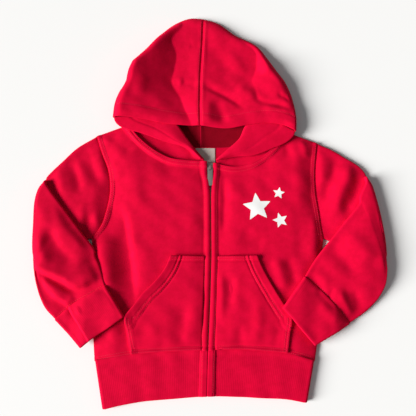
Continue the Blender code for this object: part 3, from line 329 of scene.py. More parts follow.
Fold = namedtuple("Fold", "piece kind high run low low_run path")   # r: a soft ridge or trough, v: one of uneven flanks (run on the left of its path, low_run on the right), s: a step; millimetres
FOLDS = [
    Fold("hood_right", "v", -1.6, 3.5, 0, 7.5, [(-44, 179), (-32, 175), (-16, 171)]),
    Fold("hood_right", "r", 1.2, 5.0, 0, 0, [(-57, 176), (-50, 182), (-39, 176)]),
    Fold("hood_right", "r", -1.0, 3.0, 0, 0, [(-32, 234), (-22, 236), (-13, 238)]),
    Fold("hood_right", "r", 1.2, 9.0, 0, 0, [(-94, 188), (-101, 170), (-106, 150)]),
    Fold("hood_right", "r", -1.0, 14.0, 0, 0, [(-74, 207), (-76, 176), (-70, 148)]),
    Fold("hood_left", "v", -3.0, 7.0, 0, 3.5, [(-14, 173), (18, 157), (56, 133)]),
    Fold("hood_left", "r", 1.6, 7.0, 0, 0, [(-5, 149), (-2, 127), (-1, 109)]),
    Fold("hood_left", "r", -2.2, 7.5, 0, 0, [(6, 149), (17, 127), (21, 109)]),
    Fold("hood_left", "r", 2.4, 7.0, 0, 0, [(78, 224), (84, 205), (84, 183)]),
    Fold("hood_left", "r", 2.4, 9.0, 0, 0, [(39, 171), (56, 158), (77, 161)]),
    Fold("hood_left", "v", -2.4, 4.0, 0, 6.0, [(63, 175), (74, 148), (98, 142), (121, 139)]),
    Fold("hood_left", "r", 1.6, 4.0, 0, 0, [(77, 136), (98, 134), (121, 128)]),
    Fold("hood_left", "r", -1.8, 4.0, 0, 0, [(98, 158), (113, 151), (125, 142)]),
    Fold("hood_left", "r", -1.4, 11.0, 0, 0, [(4, 239), (18, 211), (33, 179)]),
    Fold("hood_left", "r", 1.0, 9.0, 0, 0, [(24, 230), (42, 207), (54, 182)]),
    Fold("front_right", "v", -6.0, 7.0, 0, 24.0, [(-135, 5), (-122, -39), (-116, -73), (-110, -115), (-107, -159)]),
    Fold("front_right", "r", 5.0, 15.0, 0, 0, [(-159, -48), (-151, -90), (-139, -138)]),
    Fold("front_right", "r", 1.6, 12.0, 0, 0, [(-96, -59), (-90, -99), (-94, -132)]),
    Fold("front_right", "r", -1.8, 9.0, 0, 0, [(-152, 92), (-133, 81), (-111, 66)]),
    Fold("front_right", "r", 1.4, 9.0, 0, 0, [(-148, 58), (-135, 43), (-133, 25)]),
    Fold("front_right", "v", -2.6, 5.0, 0, 12.0, [(-119, -168), (-114, -192), (-112, -216)]),
    Fold("front_right", "r", 0.8, 10.0, 0, 0, [(-119, 43), (-106, 14), (-100, -19)]),
    Fold("front_left", "v", -1.8, 7.0, 0, 4.0, [(20, 43), (21, -1), (18, -59)]),
    Fold("front_left", "r", -1.6, 10.0, 0, 0, [(127, -9), (129, -53), (129, -99)]),
    Fold("front_left", "r", 2.8, 9.0, 0, 0, [(151, -19), (150, -56), (143, -93)]),
    Fold("front_left", "r", 2.4, 8.0, 0, 0, [(91, -82), (100, -107), (108, -132)]),
    Fold("front_left", "r", -1.8, 7.0, 0, 0, [(108, -82), (117, -104), (121, -124)]),
    Fold("front_left", "r", 2.0, 6.0, 0, 0, [(133, 90), (140, 73), (141, 58)]),
    Fold("front_left", "r", -1.8, 7.0, 0, 0, [(109, 88), (115, 73), (117, 58)]),
    Fold("front_left", "r", -1.2, 12.0, 0, 0, [(43, -48), (60, -59), (80, -65)]),
    Fold("front_left", "r", 1.0, 12.0, 0, 0, [(140, 46), (135, 16), (127, -10)]),
    Fold("pocket_right", "v", -2.0, 9.0, 0, 15.0, [(-30, -138), (-37, -173), (-46, -208)]),
    Fold("pocket_right", "r", 0.8, 8.0, 0, 0, [(-82, -173), (-74, -194), (-71, -210)]),
    Fold("pocket_right", "r", -0.7, 8.0, 0, 0, [(-96, -173), (-93, -192), (-90, -210)]),
    Fold("pocket_right", "r", 1.4, 12.0, 0, 0, [(-14, -118), (-16, -157), (-22, -192)]),
    Fold("pocket_left", "v", -2.2, 6.0, 0, 8.0, [(30, -104), (30, -132), (27, -159)]),
    Fold("pocket_left", "r", 1.2, 5.0, 0, 0, [(16, -96), (17, -132), (17, -178)]),
    Fold("pocket_left", "r", 1.5, 8.0, 0, 0, [(67, -143), (67, -173), (61, -208)]),
    Fold("pocket_left", "r", -1.2, 7.0, 0, 0, [(42, -173), (42, -192), (43, -210)]),
    Fold("pocket_left", "r", -1.0, 7.0, 0, 0, [(96, -173), (92, -192), (89, -210)]),
    Fold("arm_right", "v", -4.4, 6.0, 0, 14.0, [(-191, 86), (-175, 54), (-156, 14)]),
    Fold("arm_right", "r", 2.2, 9.0, 0, 0, [(-161, 77), (-153, 56), (-151, 32)]),
    Fold("arm_right", "v", -3.4, 4.5, 0, 9.0, [(-208, 65), (-193, 35), (-185, 5)]),
    Fold("arm_right", "r", 1.6, 6.0, 0, 0, [(-225, 50), (-214, 17), (-207, -12)]),
    Fold("arm_right", "r", -4.0, 8.0, 0, 0, [(-236, 32), (-222, 2), (-207, -24)]),
    Fold("arm_right", "r", 2.0, 5.0, 0, 0, [(-179, -4), (-184, -18), (-187, -36)]),
    Fold("arm_right", "r", -4.0, 5.5, 0, 0, [(-168, -24), (-176, -34), (-182, -50)]),
    Fold("arm_right", "r", 3.4, 4.0, 0, 0, [(-168, -20), (-162, -30), (-158, -43)]),
    Fold("arm_left", "r", -3.2, 7.0, 0, 0, [(189, 68), (177, 32), (164, -4)]),
    Fold("arm_left", "r", 4.6, 8.0, 0, 0, [(210, 57), (195, 21), (176, -20)]),
    Fold("arm_left", "r", -4.2, 8.0, 0, 0, [(221, 41), (211, 8), (188, -27)]),
    Fold("arm_left", "r", 1.2, 5.0, 0, 0, [(168, 74), (163, 41), (160, 5)]),
    Fold("fore_right", "r", 2.2, 8.0, 0, 0, [(-227, -11), (-200, -48), (-165, -80)]),
    Fold("fore_right", "v", -3.6, 8.0, 0, 12.0, [(-230, -34), (-216, -68), (-181, -96)]),
    Fold("fore_right", "r", 2.0, 7.0, 0, 0, [(-242, -48), (-236, -77), (-220, -96)]),
    Fold("fore_right", "s", -5.4, 8.0, -4.6, 18.0, [(-155, -114), (-167, -120), (-178, -125), (-188, -126), (-197, -122), (-204, -116), (-216, -111), (-229, -106), (-246, -98)]),
    Fold("fore_right", "s", 3.6, 9.0, 4.6, 8.0, [(-243, -102), (-238, -116), (-232, -128), (-221, -138), (-210, -144), (-196, -152)]),
    Fold("fore_right", "r", -5.0, 3.6, 0, 0, [(-243, -102), (-222, -114), (-199, -126), (-180, -129), (-156, -117)]),
    Fold("fore_right", "r", -5.0, 3.4, 0, 0, [(-240, -103), (-232, -125), (-216, -142), (-196, -152)]),
    Fold("fore_right", "r", 2.0, 4.0, 0, 0, [(-190, -138), (-193, -144), (-195, -151)]),
    Fold("fore_right", "r", -2.2, 3.6, 0, 0, [(-174, -140), (-177, -147), (-178, -154)]),
    Fold("fore_left", "r", -2.2, 10.0, 0, 0, [(164, -63), (187, -85), (206, -113)]),
    Fold("fore_left", "r", 2.8, 12.0, 0, 0, [(190, -46), (208, -67), (231, -91)]),
    Fold("fore_left", "r", -2.0, 2.8, 0, 0, [(172, -126), (169, -133), (166, -140)]),
    Fold("fore_left", "r", 3.0, 5.0, 0, 0, [(178, -129), (188, -147), (198, -167)]),
    Fold("fore_left", "r", -1.6, 6.0, 0, 0, [(200, -129), (207, -147), (209, -162)]),
    Fold("fore_left", "r", 1.6, 6.0, 0, 0, [(146, -99), (156, -111), (167, -125)]),
    Fold("cuff_right", "s", 1.2, 6.0, 4.0, 7.0, [(-198, -147), (-193, -158), (-180, -177), (-166, -199)]),
    Fold("cuff_right", "r", 1.6, 4.0, 0, 0, [(-184, -150), (-181, -158), (-178, -164)]),
    Fold("cuff_left", "r", -1.6, 5.0, 0, 0, [(145, -126), (161, -142), (179, -159)]),
    Fold("cuff_left", "r", 1.2, 7.0, 0, 0, [(152, -146), (165, -162), (178, -175)]),
]


# ================================================================ cloth tools
FINE = 3.0                        # grid pitch of the cloth
PUFF = 4.0                        # how far the fronts stand up between their seams
OUTER = {s: join(body_side(s, 16, 18), shoulder(s, 6)) for s in ("right", "left")}
NECK = {s: spline(pick(NECK_FRONT, s), 24) for s in ("right", "left")}
RNG = np.random.default_rng(11)
WAVES = [(2 * math.pi / RNG.uniform(22, 75), RNG.uniform(0, 2 * math.pi), RNG.uniform(0, 2 * math.pi))
         for _ in range(14)]


def unevenness(x, y, amount=0.5, waves=WAVES):
    """Low waves over the cloth, as it never lies quite flat."""
    z = 0.0
    for k, a, p in waves:
        z = z + np.sin(k * (x * math.cos(a) + y * math.sin(a)) + p)
    return amount * z / math.sqrt(len(waves) / 2.0)


def smooth(t):
    t = np.clip(t, 0.0, 1.0)
    return t * t * (3 - 2 * t)


def dist_line(line, x, y):
    """Distance, side (+1 left of the line) and place along it, for arrays of points."""
    line = np.asarray(line, float)
    x, y = np.asarray(x, float), np.asarray(y, float)
    d = np.diff(line, axis=0)
    seg = np.hypot(d[:, 0], d[:, 1])
    run = np.concatenate([[0], np.cumsum(seg)])
    best, side, frac = np.full(x.shape, 1e9), np.ones(x.shape), np.zeros(x.shape)
    for k in range(len(d)):
        dx, dy = x - line[k, 0], y - line[k, 1]
        t = np.clip((dx * d[k, 0] + dy * d[k, 1]) / seg[k] ** 2, 0, 1)
        ex, ey = dx - t * d[k, 0], dy - t * d[k, 1]
        r = np.hypot(ex, ey)
        m = r < best
        best = np.where(m, r, best)
        side = np.where(m, np.where(d[k, 0] * ey - d[k, 1] * ex >= 0, 1.0, -1.0), side)
        frac = np.where(m, (run[k] + t * seg[k]) / run[-1], frac)
    return best, side, frac


def relief(piece, x, y):
    """Sum of the piece's listed folds."""
    x, y = np.asarray(x, float), np.asarray(y, float)
    z = np.zeros(x.shape)
    for f in FOLDS:
        if f.piece != piece:
            continue
        d, side, t = dist_line(spline(f.path, 16), x, y)
        fade = smooth(t / 0.28) * smooth((1 - t) / 0.28)
        if f.kind == "r":
            z += f.high * fade * np.exp(-(d / f.run) ** 2)
        elif f.kind == "v":
            z += f.high * fade * np.exp(-(d / np.where(side > 0, f.run, f.low_run)) ** 2)
        else:
            fade = smooth(t / 0.1 + 0.25) * smooth((1 - t) / 0.1 + 0.25)
            s = d * side
            up = f.high * np.exp(-np.maximum(s, 0) / f.run)
            down = -f.low * np.exp(-np.maximum(-s, 0) / f.low_run)
            mix = smooth(s / 4.4 + 0.5)
            z += fade * (mix * up + (1 - mix) * down)
    return z


class Shell:
    """Welded grids of a middle surface, given a soft-edged wall."""

    def __init__(self):
        self.pts, self.key, self.quads, self.rib, self.tags, self.painted_shade_faces = [], {}, [], [], [], []

    def add(self, grid, rib=None, tag=None):
        grid = np.asarray(grid, float)
        nj, ni = grid.shape[:2]
        ids = np.empty((nj, ni), int)
        for j in range(nj):
            for i in range(ni):
                p = grid[j, i]
                k = (round(p[0], 2), round(p[1], 2), round(p[2], 2))
                n = self.key.get(k)
                if n is None:
                    n = self.key[k] = len(self.pts)
                    self.pts.append(tuple(p))
                    self.rib.append(0.0 if rib is None else float(rib[j, i]))
                ids[j, i] = n
        for j in range(nj - 1):
            for i in range(ni - 1):
                q = []
                for v in (ids[j, i], ids[j, i + 1], ids[j + 1, i + 1], ids[j + 1, i]):
                    if v not in q:
                        q.append(int(v))
                if len(q) > 2:
                    self.quads.append(q)
                    self.tags.append(bool(tag is not None and i < tag))
        return self

    def ease(self, rounds, factor=0.5):
        """Even out kinks; vertices on an open edge move only along it."""
        n = len(self.pts)
        links, rim, seen = [set() for _ in range(n)], [set() for _ in range(n)], {}
        for q in self.quads:
            for a, b in zip(q, q[1:] + q[:1]):
                links[a].add(b)
                links[b].add(a)
                k = (min(a, b), max(a, b))
                seen[k] = seen.get(k, 0) + 1
        for (a, b), c in seen.items():
            if c == 1:
                rim[a].add(b)
                rim[b].add(a)
        use = [list(r) if r else list(l) for r, l in zip(rim, links)]
        src = np.repeat(np.arange(n), [len(u) for u in use])
        dst = np.concatenate([np.array(u, int) for u in use if u])
        p = np.array(self.pts)
        count = np.maximum(np.bincount(src, minlength=n), 1)[:, None]
        for _ in range(rounds):
            total = np.column_stack([np.bincount(src, p[dst, c], minlength=n) for c in range(3)])
            p = p + factor * (total / count - p)
        self.pts = [tuple(v) for v in p]
        return self

    def mesh(self, wall, round_edge=0.45):
        bm = bmesh.new()
        vs = [bm.verts.new(p) for p in self.pts]
        seen, tags = set(), []
        for q, tag in zip(self.quads, self.tags):
            k = frozenset(q)
            if k not in seen:
                seen.add(k)
                bm.faces.new([vs[i] for i in q])
                tags.append(tag)
        bmesh.ops.recalc_face_normals(bm, faces=bm.faces[:])
        bm.normal_update()
        bm.verts.index_update()
        n = len(vs)
        p = np.array(self.pts)
        nrm = np.array([tuple(v.normal) for v in bm.verts])
        half = wall / 2 + np.array(self.rib)[:, None]
        up, dn = p + nrm * half, p - nrm * half
        faces = []
        for f, tag in zip(bm.faces, tags):
            ids = [v.index for v in f.verts]
            if tag:                                           # its upper side is the hood's inside, which takes a darker red as painted shade
                self.painted_shade_faces.append(len(faces) + (0 if f.normal.z > 0 else 1))
            faces.append(ids)
            faces.append([i + n for i in reversed(ids)])
        out = {}
        rim = []
        for e in bm.edges:
            if len(e.link_faces) != 1:
                continue
            loop_ = [l for l in e.link_loops][0]
            a, b = loop_.vert.index, loop_.link_loop_next.vert.index
            rim.append((a, b))
            t = p[b] - p[a]
            o = np.cross(t, nrm[a] + nrm[b])
            o = o / (np.linalg.norm(o) + 1e-9)
            for v in (a, b):
                out[v] = out.get(v, np.zeros(3)) + o
        mid = {}
        extra = []
        for v, o in out.items():
            o = o / (np.linalg.norm(o) + 1e-9)
            mid[v] = (2 * n + len(extra), 2 * n + len(extra) + 1, 2 * n + len(extra) + 2)
            w = wall * 0.5
            extra += [p[v] + nrm[v] * w * 0.72 + o * w * round_edge * 1.5,
                      p[v] + o * w * round_edge * 2.0,
                      p[v] - nrm[v] * w * 0.72 + o * w * round_edge * 1.5]
        for a, b in rim:
            (a1, a2, a3), (b1, b2, b3) = mid[a], mid[b]
            faces += [[b, a, a1, b1], [b1, a1, a2, b2], [b2, a2, a3, b3], [b3, a3, a + n, b + n]]
        bm.free()
        verts = np.vstack([up, dn, np.array(extra).reshape(-1, 3)])
        return verts, faces


def make_object(name, verts, faces, material, sharp=None):
    verts = (np.asarray(verts) + np.array([SHIFT_X, SHIFT_Y, 0.0])) * MM
    mesh = bpy.data.meshes.new(name)
    mesh.from_pydata([tuple(v) for v in verts], [], faces)
    mesh.validate()
    mesh.materials.append(material)
    bm = bmesh.new()
    bm.from_mesh(mesh)
    bmesh.ops.recalc_face_normals(bm, faces=bm.faces[:])
    bm.to_mesh(mesh)
    bm.free()
    mesh.shade_smooth()
    if sharp:
        mesh.set_sharp_from_angle(angle=math.radians(sharp))
    obj = bpy.data.objects.new(name, mesh)
    bpy.context.scene.collection.objects.link(obj)
    return obj


TREES = {}


def place(name, verts, faces, material, node, sharp=None):
    """A finished cloth piece, in place of its plain solid."""
    obj = make_object(name, verts, faces, material, sharp)
    TREES[name] = BVHTree.FromPolygons([tuple(v) for v in verts], faces)
    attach(obj, "garment")
    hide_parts(*([node] if isinstance(node, str) else node))
    return obj


# ================================================================== materials
def cloth_material(name, rgb, knit=0.0011, bump=0.18, rib=None, fuzz=0.12):
    m = bpy.data.materials.new(name)
    m.use_nodes = True
    nt = m.node_tree
    b = nt.nodes["Principled BSDF"]
    b.inputs["Roughness"].default_value = 0.88
    b.inputs["Specular IOR Level"].default_value = 0.05
    b.inputs["Sheen Weight"].default_value = fuzz
    b.inputs["Sheen Roughness"].default_value = 0.55
    b.inputs["Sheen Tint"].default_value = (1.0, 0.03, 0.12, 1.0)
    co = nt.nodes.new("ShaderNodeTexCoord")
    # slow unevenness of the dye and nap
    cloud = nt.nodes.new("ShaderNodeTexNoise")
    cloud.inputs["Scale"].default_value = 120.0
    cloud.inputs["Detail"].default_value = 5.0
    grit = nt.nodes.new("ShaderNodeTexNoise")
    grit.inputs["Scale"].default_value = 900.0
    grit.inputs["Detail"].default_value = 3.0
    nt.links.new(co.outputs["Object"], cloud.inputs["Vector"])
    nt.links.new(co.outputs["Object"], grit.inputs["Vector"])
    ramp = nt.nodes.new("ShaderNodeValToRGB")
    ramp.color_ramp.elements[0].position = 0.3
    ramp.color_ramp.elements[0].color = (rgb[0] * 0.90, rgb[1] * 0.8, rgb[2] * 0.85, 1)
    ramp.color_ramp.elements[1].position = 0.72
    ramp.color_ramp.elements[1].color = (min(1, rgb[0] * 1.05), rgb[1] * 1.1, rgb[2] * 1.1, 1)
    nt.links.new(cloud.outputs["Fac"], ramp.inputs["Fac"])
    mix = nt.nodes.new("ShaderNodeMix")
    mix.data_type = "RGBA"
    mix.blend_type = "MULTIPLY"
    mix.inputs["Factor"].default_value = 0.35
    grey = nt.nodes.new("ShaderNodeValToRGB")
    grey.color_ramp.elements[0].position = 0.32
    grey.color_ramp.elements[0].color = (0.72, 0.72, 0.72, 1)
    grey.color_ramp.elements[1].position = 0.62
    grey.color_ramp.elements[1].color = (1.0, 1.0, 1.0, 1)
    nt.links.new(grit.outputs["Fac"], grey.inputs["Fac"])
    nt.links.new(ramp.outputs["Color"], mix.inputs[6])
    nt.links.new(grey.outputs["Color"], mix.inputs[7])
    nt.links.new(mix.outputs[2], b.inputs["Base Color"])
    # knit: fine wales down the cloth, broken up by the nap
    wave = nt.nodes.new("ShaderNodeTexWave")
    wave.wave_type = "BANDS"
    wave.bands_direction = "X"
    wave.inputs["Scale"].default_value = 1.0 / (knit * 6.2832) * 2.0
    wave.inputs["Distortion"].default_value = 1.4
    wave.inputs["Detail"].default_value = 2.0
    wave.inputs["Detail Scale"].default_value = 2.0
    nt.links.new(co.outputs["Object"], wave.inputs["Vector"])
    add = nt.nodes.new("ShaderNodeMath")
    add.operation = "MULTIPLY_ADD"
    add.inputs[1].default_value = 0.35
    nt.links.new(wave.outputs["Fac"], add.inputs[0])
    nt.links.new(grit.outputs["Fac"], add.inputs[2])
    bp = nt.nodes.new("ShaderNodeBump")
    bp.inputs["Strength"].default_value = bump
    bp.inputs["Distance"].default_value = 0.0006
    nt.links.new(add.outputs[0], bp.inputs["Height"])
    nt.links.new(bp.outputs["Normal"], b.inputs["Normal"])
    return m


def thread_material(name, rgb):
    m = bpy.data.materials.new(name)
    m.use_nodes = True
    nt = m.node_tree
    b = nt.nodes["Principled BSDF"]
    b.inputs["Roughness"].default_value = 0.62
    b.inputs["Specular IOR Level"].default_value = 0.35
    co = nt.nodes.new("ShaderNodeTexCoord")
    n = nt.nodes.new("ShaderNodeTexNoise")
    n.inputs["Scale"].default_value = 1400.0
    ramp = nt.nodes.new("ShaderNodeValToRGB")
    ramp.color_ramp.elements[0].color = (rgb[0] * 0.8, rgb[1] * 0.8, rgb[2] * 0.8, 1)
    ramp.color_ramp.elements[1].color = (*rgb, 1)
    nt.links.new(co.outputs["Object"], n.inputs["Vector"])
    nt.links.new(n.outputs["Fac"], ramp.inputs["Fac"])
    nt.links.new(ramp.outputs["Color"], b.inputs["Base Color"])
    return m


def metal_material(name, rgb, rough=0.32):
    m = bpy.data.materials.new(name)
    m.use_nodes = True
    nt = m.node_tree
    b = nt.nodes["Principled BSDF"]
    b.inputs["Metallic"].default_value = 0.7
    co = nt.nodes.new("ShaderNodeTexCoord")
    n = nt.nodes.new("ShaderNodeTexNoise")
    n.inputs["Scale"].default_value = 600.0
    n.inputs["Detail"].default_value = 4.0
    ramp = nt.nodes.new("ShaderNodeValToRGB")
    ramp.color_ramp.elements[0].color = (rgb[0] * 0.72, rgb[1] * 0.72, rgb[2] * 0.70, 1)
    ramp.color_ramp.elements[1].color = (*rgb, 1)
    rr = nt.nodes.new("ShaderNodeMapRange")
    rr.inputs["To Min"].default_value = rough * 0.8
    rr.inputs["To Max"].default_value = rough * 1.3
    nt.links.new(co.outputs["Object"], n.inputs["Vector"])
    nt.links.new(n.outputs["Fac"], ramp.inputs["Fac"])
    nt.links.new(n.outputs["Fac"], rr.inputs["Value"])
    nt.links.new(ramp.outputs["Color"], b.inputs["Base Color"])
    nt.links.new(rr.outputs["Result"], b.inputs["Roughness"])
    return m


RED = (0.68, 0.0008, 0.033)
jersey = cloth_material("red_brushed_jersey", RED)
# a darker red for the hood's inside: painted shade standing in for the shadow under the hood's mouth and flaps
painted_shade_cloth = cloth_material("red_jersey_painted_shade", (0.24, 0.0005, 0.009), fuzz=0.08)
rib_cloth = cloth_material("red_rib_knit", (0.67, 0.0008, 0.033), bump=0.14)
tape_cloth = cloth_material("red_zip_tape", (0.42, 0.001, 0.02), knit=0.0007, fuzz=0.1)
label_cloth = cloth_material("beige_woven_label", (0.60, 0.53, 0.46), knit=0.0006, fuzz=0.05)
thread = thread_material("red_thread", (0.72, 0.002, 0.045))
steel = metal_material("zip_metal", (0.43, 0.41, 0.37), 0.30)
ink = thread_material("white_print", (0.93, 0.93, 0.92))


# ======================================================================= body
def grid_counts(length_across, length_along):
    return max(4, int(round(length_across / FINE))), max(4, int(round(length_along / FINE)))


def zip_line(sign, y0, y1, count, push=0.0):
    ys = np.linspace(y0, y1, count + 1)
    return np.array([(zip_middle(y) + sign * (zip_gap(y) + push), y) for y in ys])


def front_base(x, y, side):
    """Middle height of a front panel: pinned at the outer seams, standing up between them."""
    x, y = np.asarray(x, float), np.asarray(y, float)
    sign = -1 if side == "right" else 1
    d_out = dist_line(OUTER[side], x, y)[0]
    d_neck = dist_line(NECK[side], x, y)[0]
    d_zip = np.abs(x - np.interp(y, [r.y for r in ZIP], [r.middle for r in ZIP]))
    z = 3.1 + (FRONT_MID - 3.1) * (1 - np.exp(-d_out / 9.0))
    z += PUFF * smooth(d_out / 30.0) * smooth(d_neck / 40.0) * (0.25 + 0.75 * smooth(d_zip / 34.0)) \
        * (0.35 + 0.65 * smooth((y + 214.0) / 30.0))
    return z


def front_mid(x, y, side):
    sign = -1 if side == "right" else 1
    d_out = dist_line(OUTER[side], x, y)[0]
    z = front_base(x, y, side)
    calm = smooth(d_out / 9.0)
    d_zip = np.abs(x - np.interp(y, [r.y for r in ZIP], [r.middle for r in ZIP])) \
        - np.interp(y, [r.y for r in ZIP], [r.half_gap for r in ZIP])
    z += relief("front_" + side, x, y) * calm * smooth((d_zip - 6.0) / 8.0)
    z += unevenness(x, y, 0.27) * calm * smooth(d_zip / 14.0)
    return z


PLACKET = 8.2


def front_top(x, y, side):
    """Front height with its turned zip edge and seam bands."""
    z = front_mid(x, y, side)
    d_zip = np.abs(x - np.interp(y, [r.y for r in ZIP], [r.middle for r in ZIP])) \
        - np.interp(y, [r.y for r in ZIP], [r.half_gap for r in ZIP])
    band = 1.4 + 1.5 * smooth((-76.0 - y) / 8.0) - 0.9 * smooth((3.0 - np.abs(d_zip)) / 3.0)
    z += band * smooth((PLACKET + 1.0 - d_zip) / 2.0) + 1.0 * smooth((PLACKET - d_zip) / 6.5)
    z -= 1.2 * np.exp(-((d_zip - PLACKET + 0.2) / 1.2) ** 2)
    d_neck = dist_line(NECK[side], x, y)[0]
    z += (3.7 if side == "right" else 2.2) * smooth((9.6 - d_neck) / 4.0) - 1.2 * np.exp(-((d_neck - 6.6) / 1.1) ** 2) \
        - 0.8 * np.exp(-((d_neck - 2.2) / 1.0) ** 2)
    arm = spline(pick(ARMHOLE, side), 18)
    d_arm = dist_line(arm, x, y)[0]
    z += 1.7 * smooth((6.6 - d_arm) / 2.2) - 1.1 * np.exp(-((d_arm - 5.2) / 1.1) ** 2) \
        - 1.0 * np.exp(-((d_arm - 1.4) / 1.0) ** 2)
    hem = np.interp(x, [r.x for r in HEM], [r.seam_y for r in HEM])
    d_hem = y - hem
    z += 0.9 * smooth((6.2 - d_hem) / 2.0) - 1.8 * np.exp(-((d_hem - 4.4) / 1.1) ** 2)
    return z


def grid3(plan, fn):
    z = fn(plan[..., 0], plan[..., 1])
    return np.dstack([plan, z])


def build_front(side):
    sign = -1 if side == "right" else 1
    outer = body_side(side, 58, 56)
    y0 = -210.9 if side == "right" else -210.6
    n = len(outer) - 1
    y1 = pick(NECK_FRONT, side)[-1][1]
    inner = zip_line(sign, y0, y1, n)
    cols = 64
    bottom = hem_line(outer[0][0], inner[0][0], cols)
    bottom[0], inner[0] = outer[0], bottom[-1]
    top = join(shoulder(side, 18), spline(pick(NECK_FRONT, side), cols - 18))
    top[-1] = inner[-1]
    plan = coons(bottom, top, outer, inner)
    grid = grid3(plan, lambda x, y: front_top(x, y, side))
    v, f = Shell().add(grid).mesh(WALL * 0.95)
    return place("front_" + side + "_cloth", v, f, jersey, "front_" + side)


def build_back():
    left = body_side("right", 50, 46)
    right = body_side("left", 50, 46)
    cols = 92
    bottom = hem_line(left[0][0], right[0][0], cols)
    neck = join(spline(pick(NECK_BACK, "right"), 34), spline(pick(NECK_BACK, "left")[::-1], 34))
    top = join(shoulder("right", 12), neck, shoulder("left", 12)[::-1])
    bottom[0], bottom[-1] = left[0], right[0]
    plan = coons(bottom, top, left, right)

    def height(x, y):
        lift = np.maximum(0.0, unevenness(x, y, 0.32) - 0.15) * 0.8
        d = np.minimum(dist_line(OUTER["right"], x, y)[0], dist_line(OUTER["left"], x, y)[0])
        return LOW + lift * smooth(d / 12.0)
    grid = grid3(plan, height)
    v, f = Shell().add(grid).mesh(WALL * 0.98)
    v[:, 2] = np.maximum(v[:, 2], 0.0)
    return place("back_panel_cloth", v, f, jersey, "back_panel")


def pocket_top(x, y, side, outer):
    z = front_base(x, y, side) + 0.6 * relief("front_" + side, x, y) + POCKET_LIFT + 0.1
    z += relief("pocket_" + side, x, y) * smooth(dist_line(outer, x, y)[0] / 16.0)
    z += unevenness(x + 31.0, y - 12.0, 0.22)
    slant = outer[outer[:, 1] > -170.0]
    d, _, _ = dist_line(slant, x, y)
    z += 0.9 * smooth((17.0 - d) / 2.5) - 1.3 * np.exp(-((d - 15.4) / 1.2) ** 2) \
        - 1.1 * np.exp(-((d - 10.8) / 1.1) ** 2)
    z += (1.6 if side == "right" else 0.3) * np.exp(-(d / 6.0) ** 2)
    flank = outer[outer[:, 1] < -163.0]
    d2, _, _ = dist_line(flank, x, y)
    z += 0.9 * smooth((8.0 - d2) / 2.0) - 1.1 * np.exp(-((d2 - 5.2) / 1.1) ** 2) \
        - 0.6 * np.exp(-((d2 - 1.4) / 0.8) ** 2)
    d_hem = y - np.interp(x, [r.x for r in HEM], [r.seam_y for r in HEM])
    z += 0.9 * smooth((6.4 - d_hem) / 2.0) - 1.8 * np.exp(-((d_hem - 5.0) / 1.1) ** 2)
    d3 = np.abs(-82.0 - y)
    z += 1.2 * smooth((6.0 - d3) / 2.5) - 1.0 * np.exp(-((d3 - 6.2) / 1.1) ** 2)
    return z


def build_pocket(side):
    sign = -1 if side == "right" else 1
    rows = 66
    outer = spline([(getattr(r, side), r.y) for r in POCKET][::-1], rows)
    y1 = outer[-1][1]
    ys = np.linspace(-212.6 + 0.8, y1 - 0.8, rows + 1)
    inner = np.array([(zip_middle(y) + sign * (zip_gap(y) + PLACKET + 0.5), y) for y in ys])
    cols = 46
    bottom = hem_line(outer[0][0], inner[0][0], cols) + np.array([0.0, 0.6])
    top = spline([outer[-1], inner[-1]], cols)
    outer[0], inner[0] = bottom[0], bottom[-1]
    plan = coons(bottom, top, outer, inner)
    grid = grid3(plan, lambda x, y: pocket_top(x, y, side, outer))
    v, f = Shell().add(grid).mesh(WALL * 0.9)
    return place("pocket_" + side + "_cloth", v, f, jersey, "pocket_" + side)


RIB_PITCH, RIB_HIGH = 2.6, 0.13


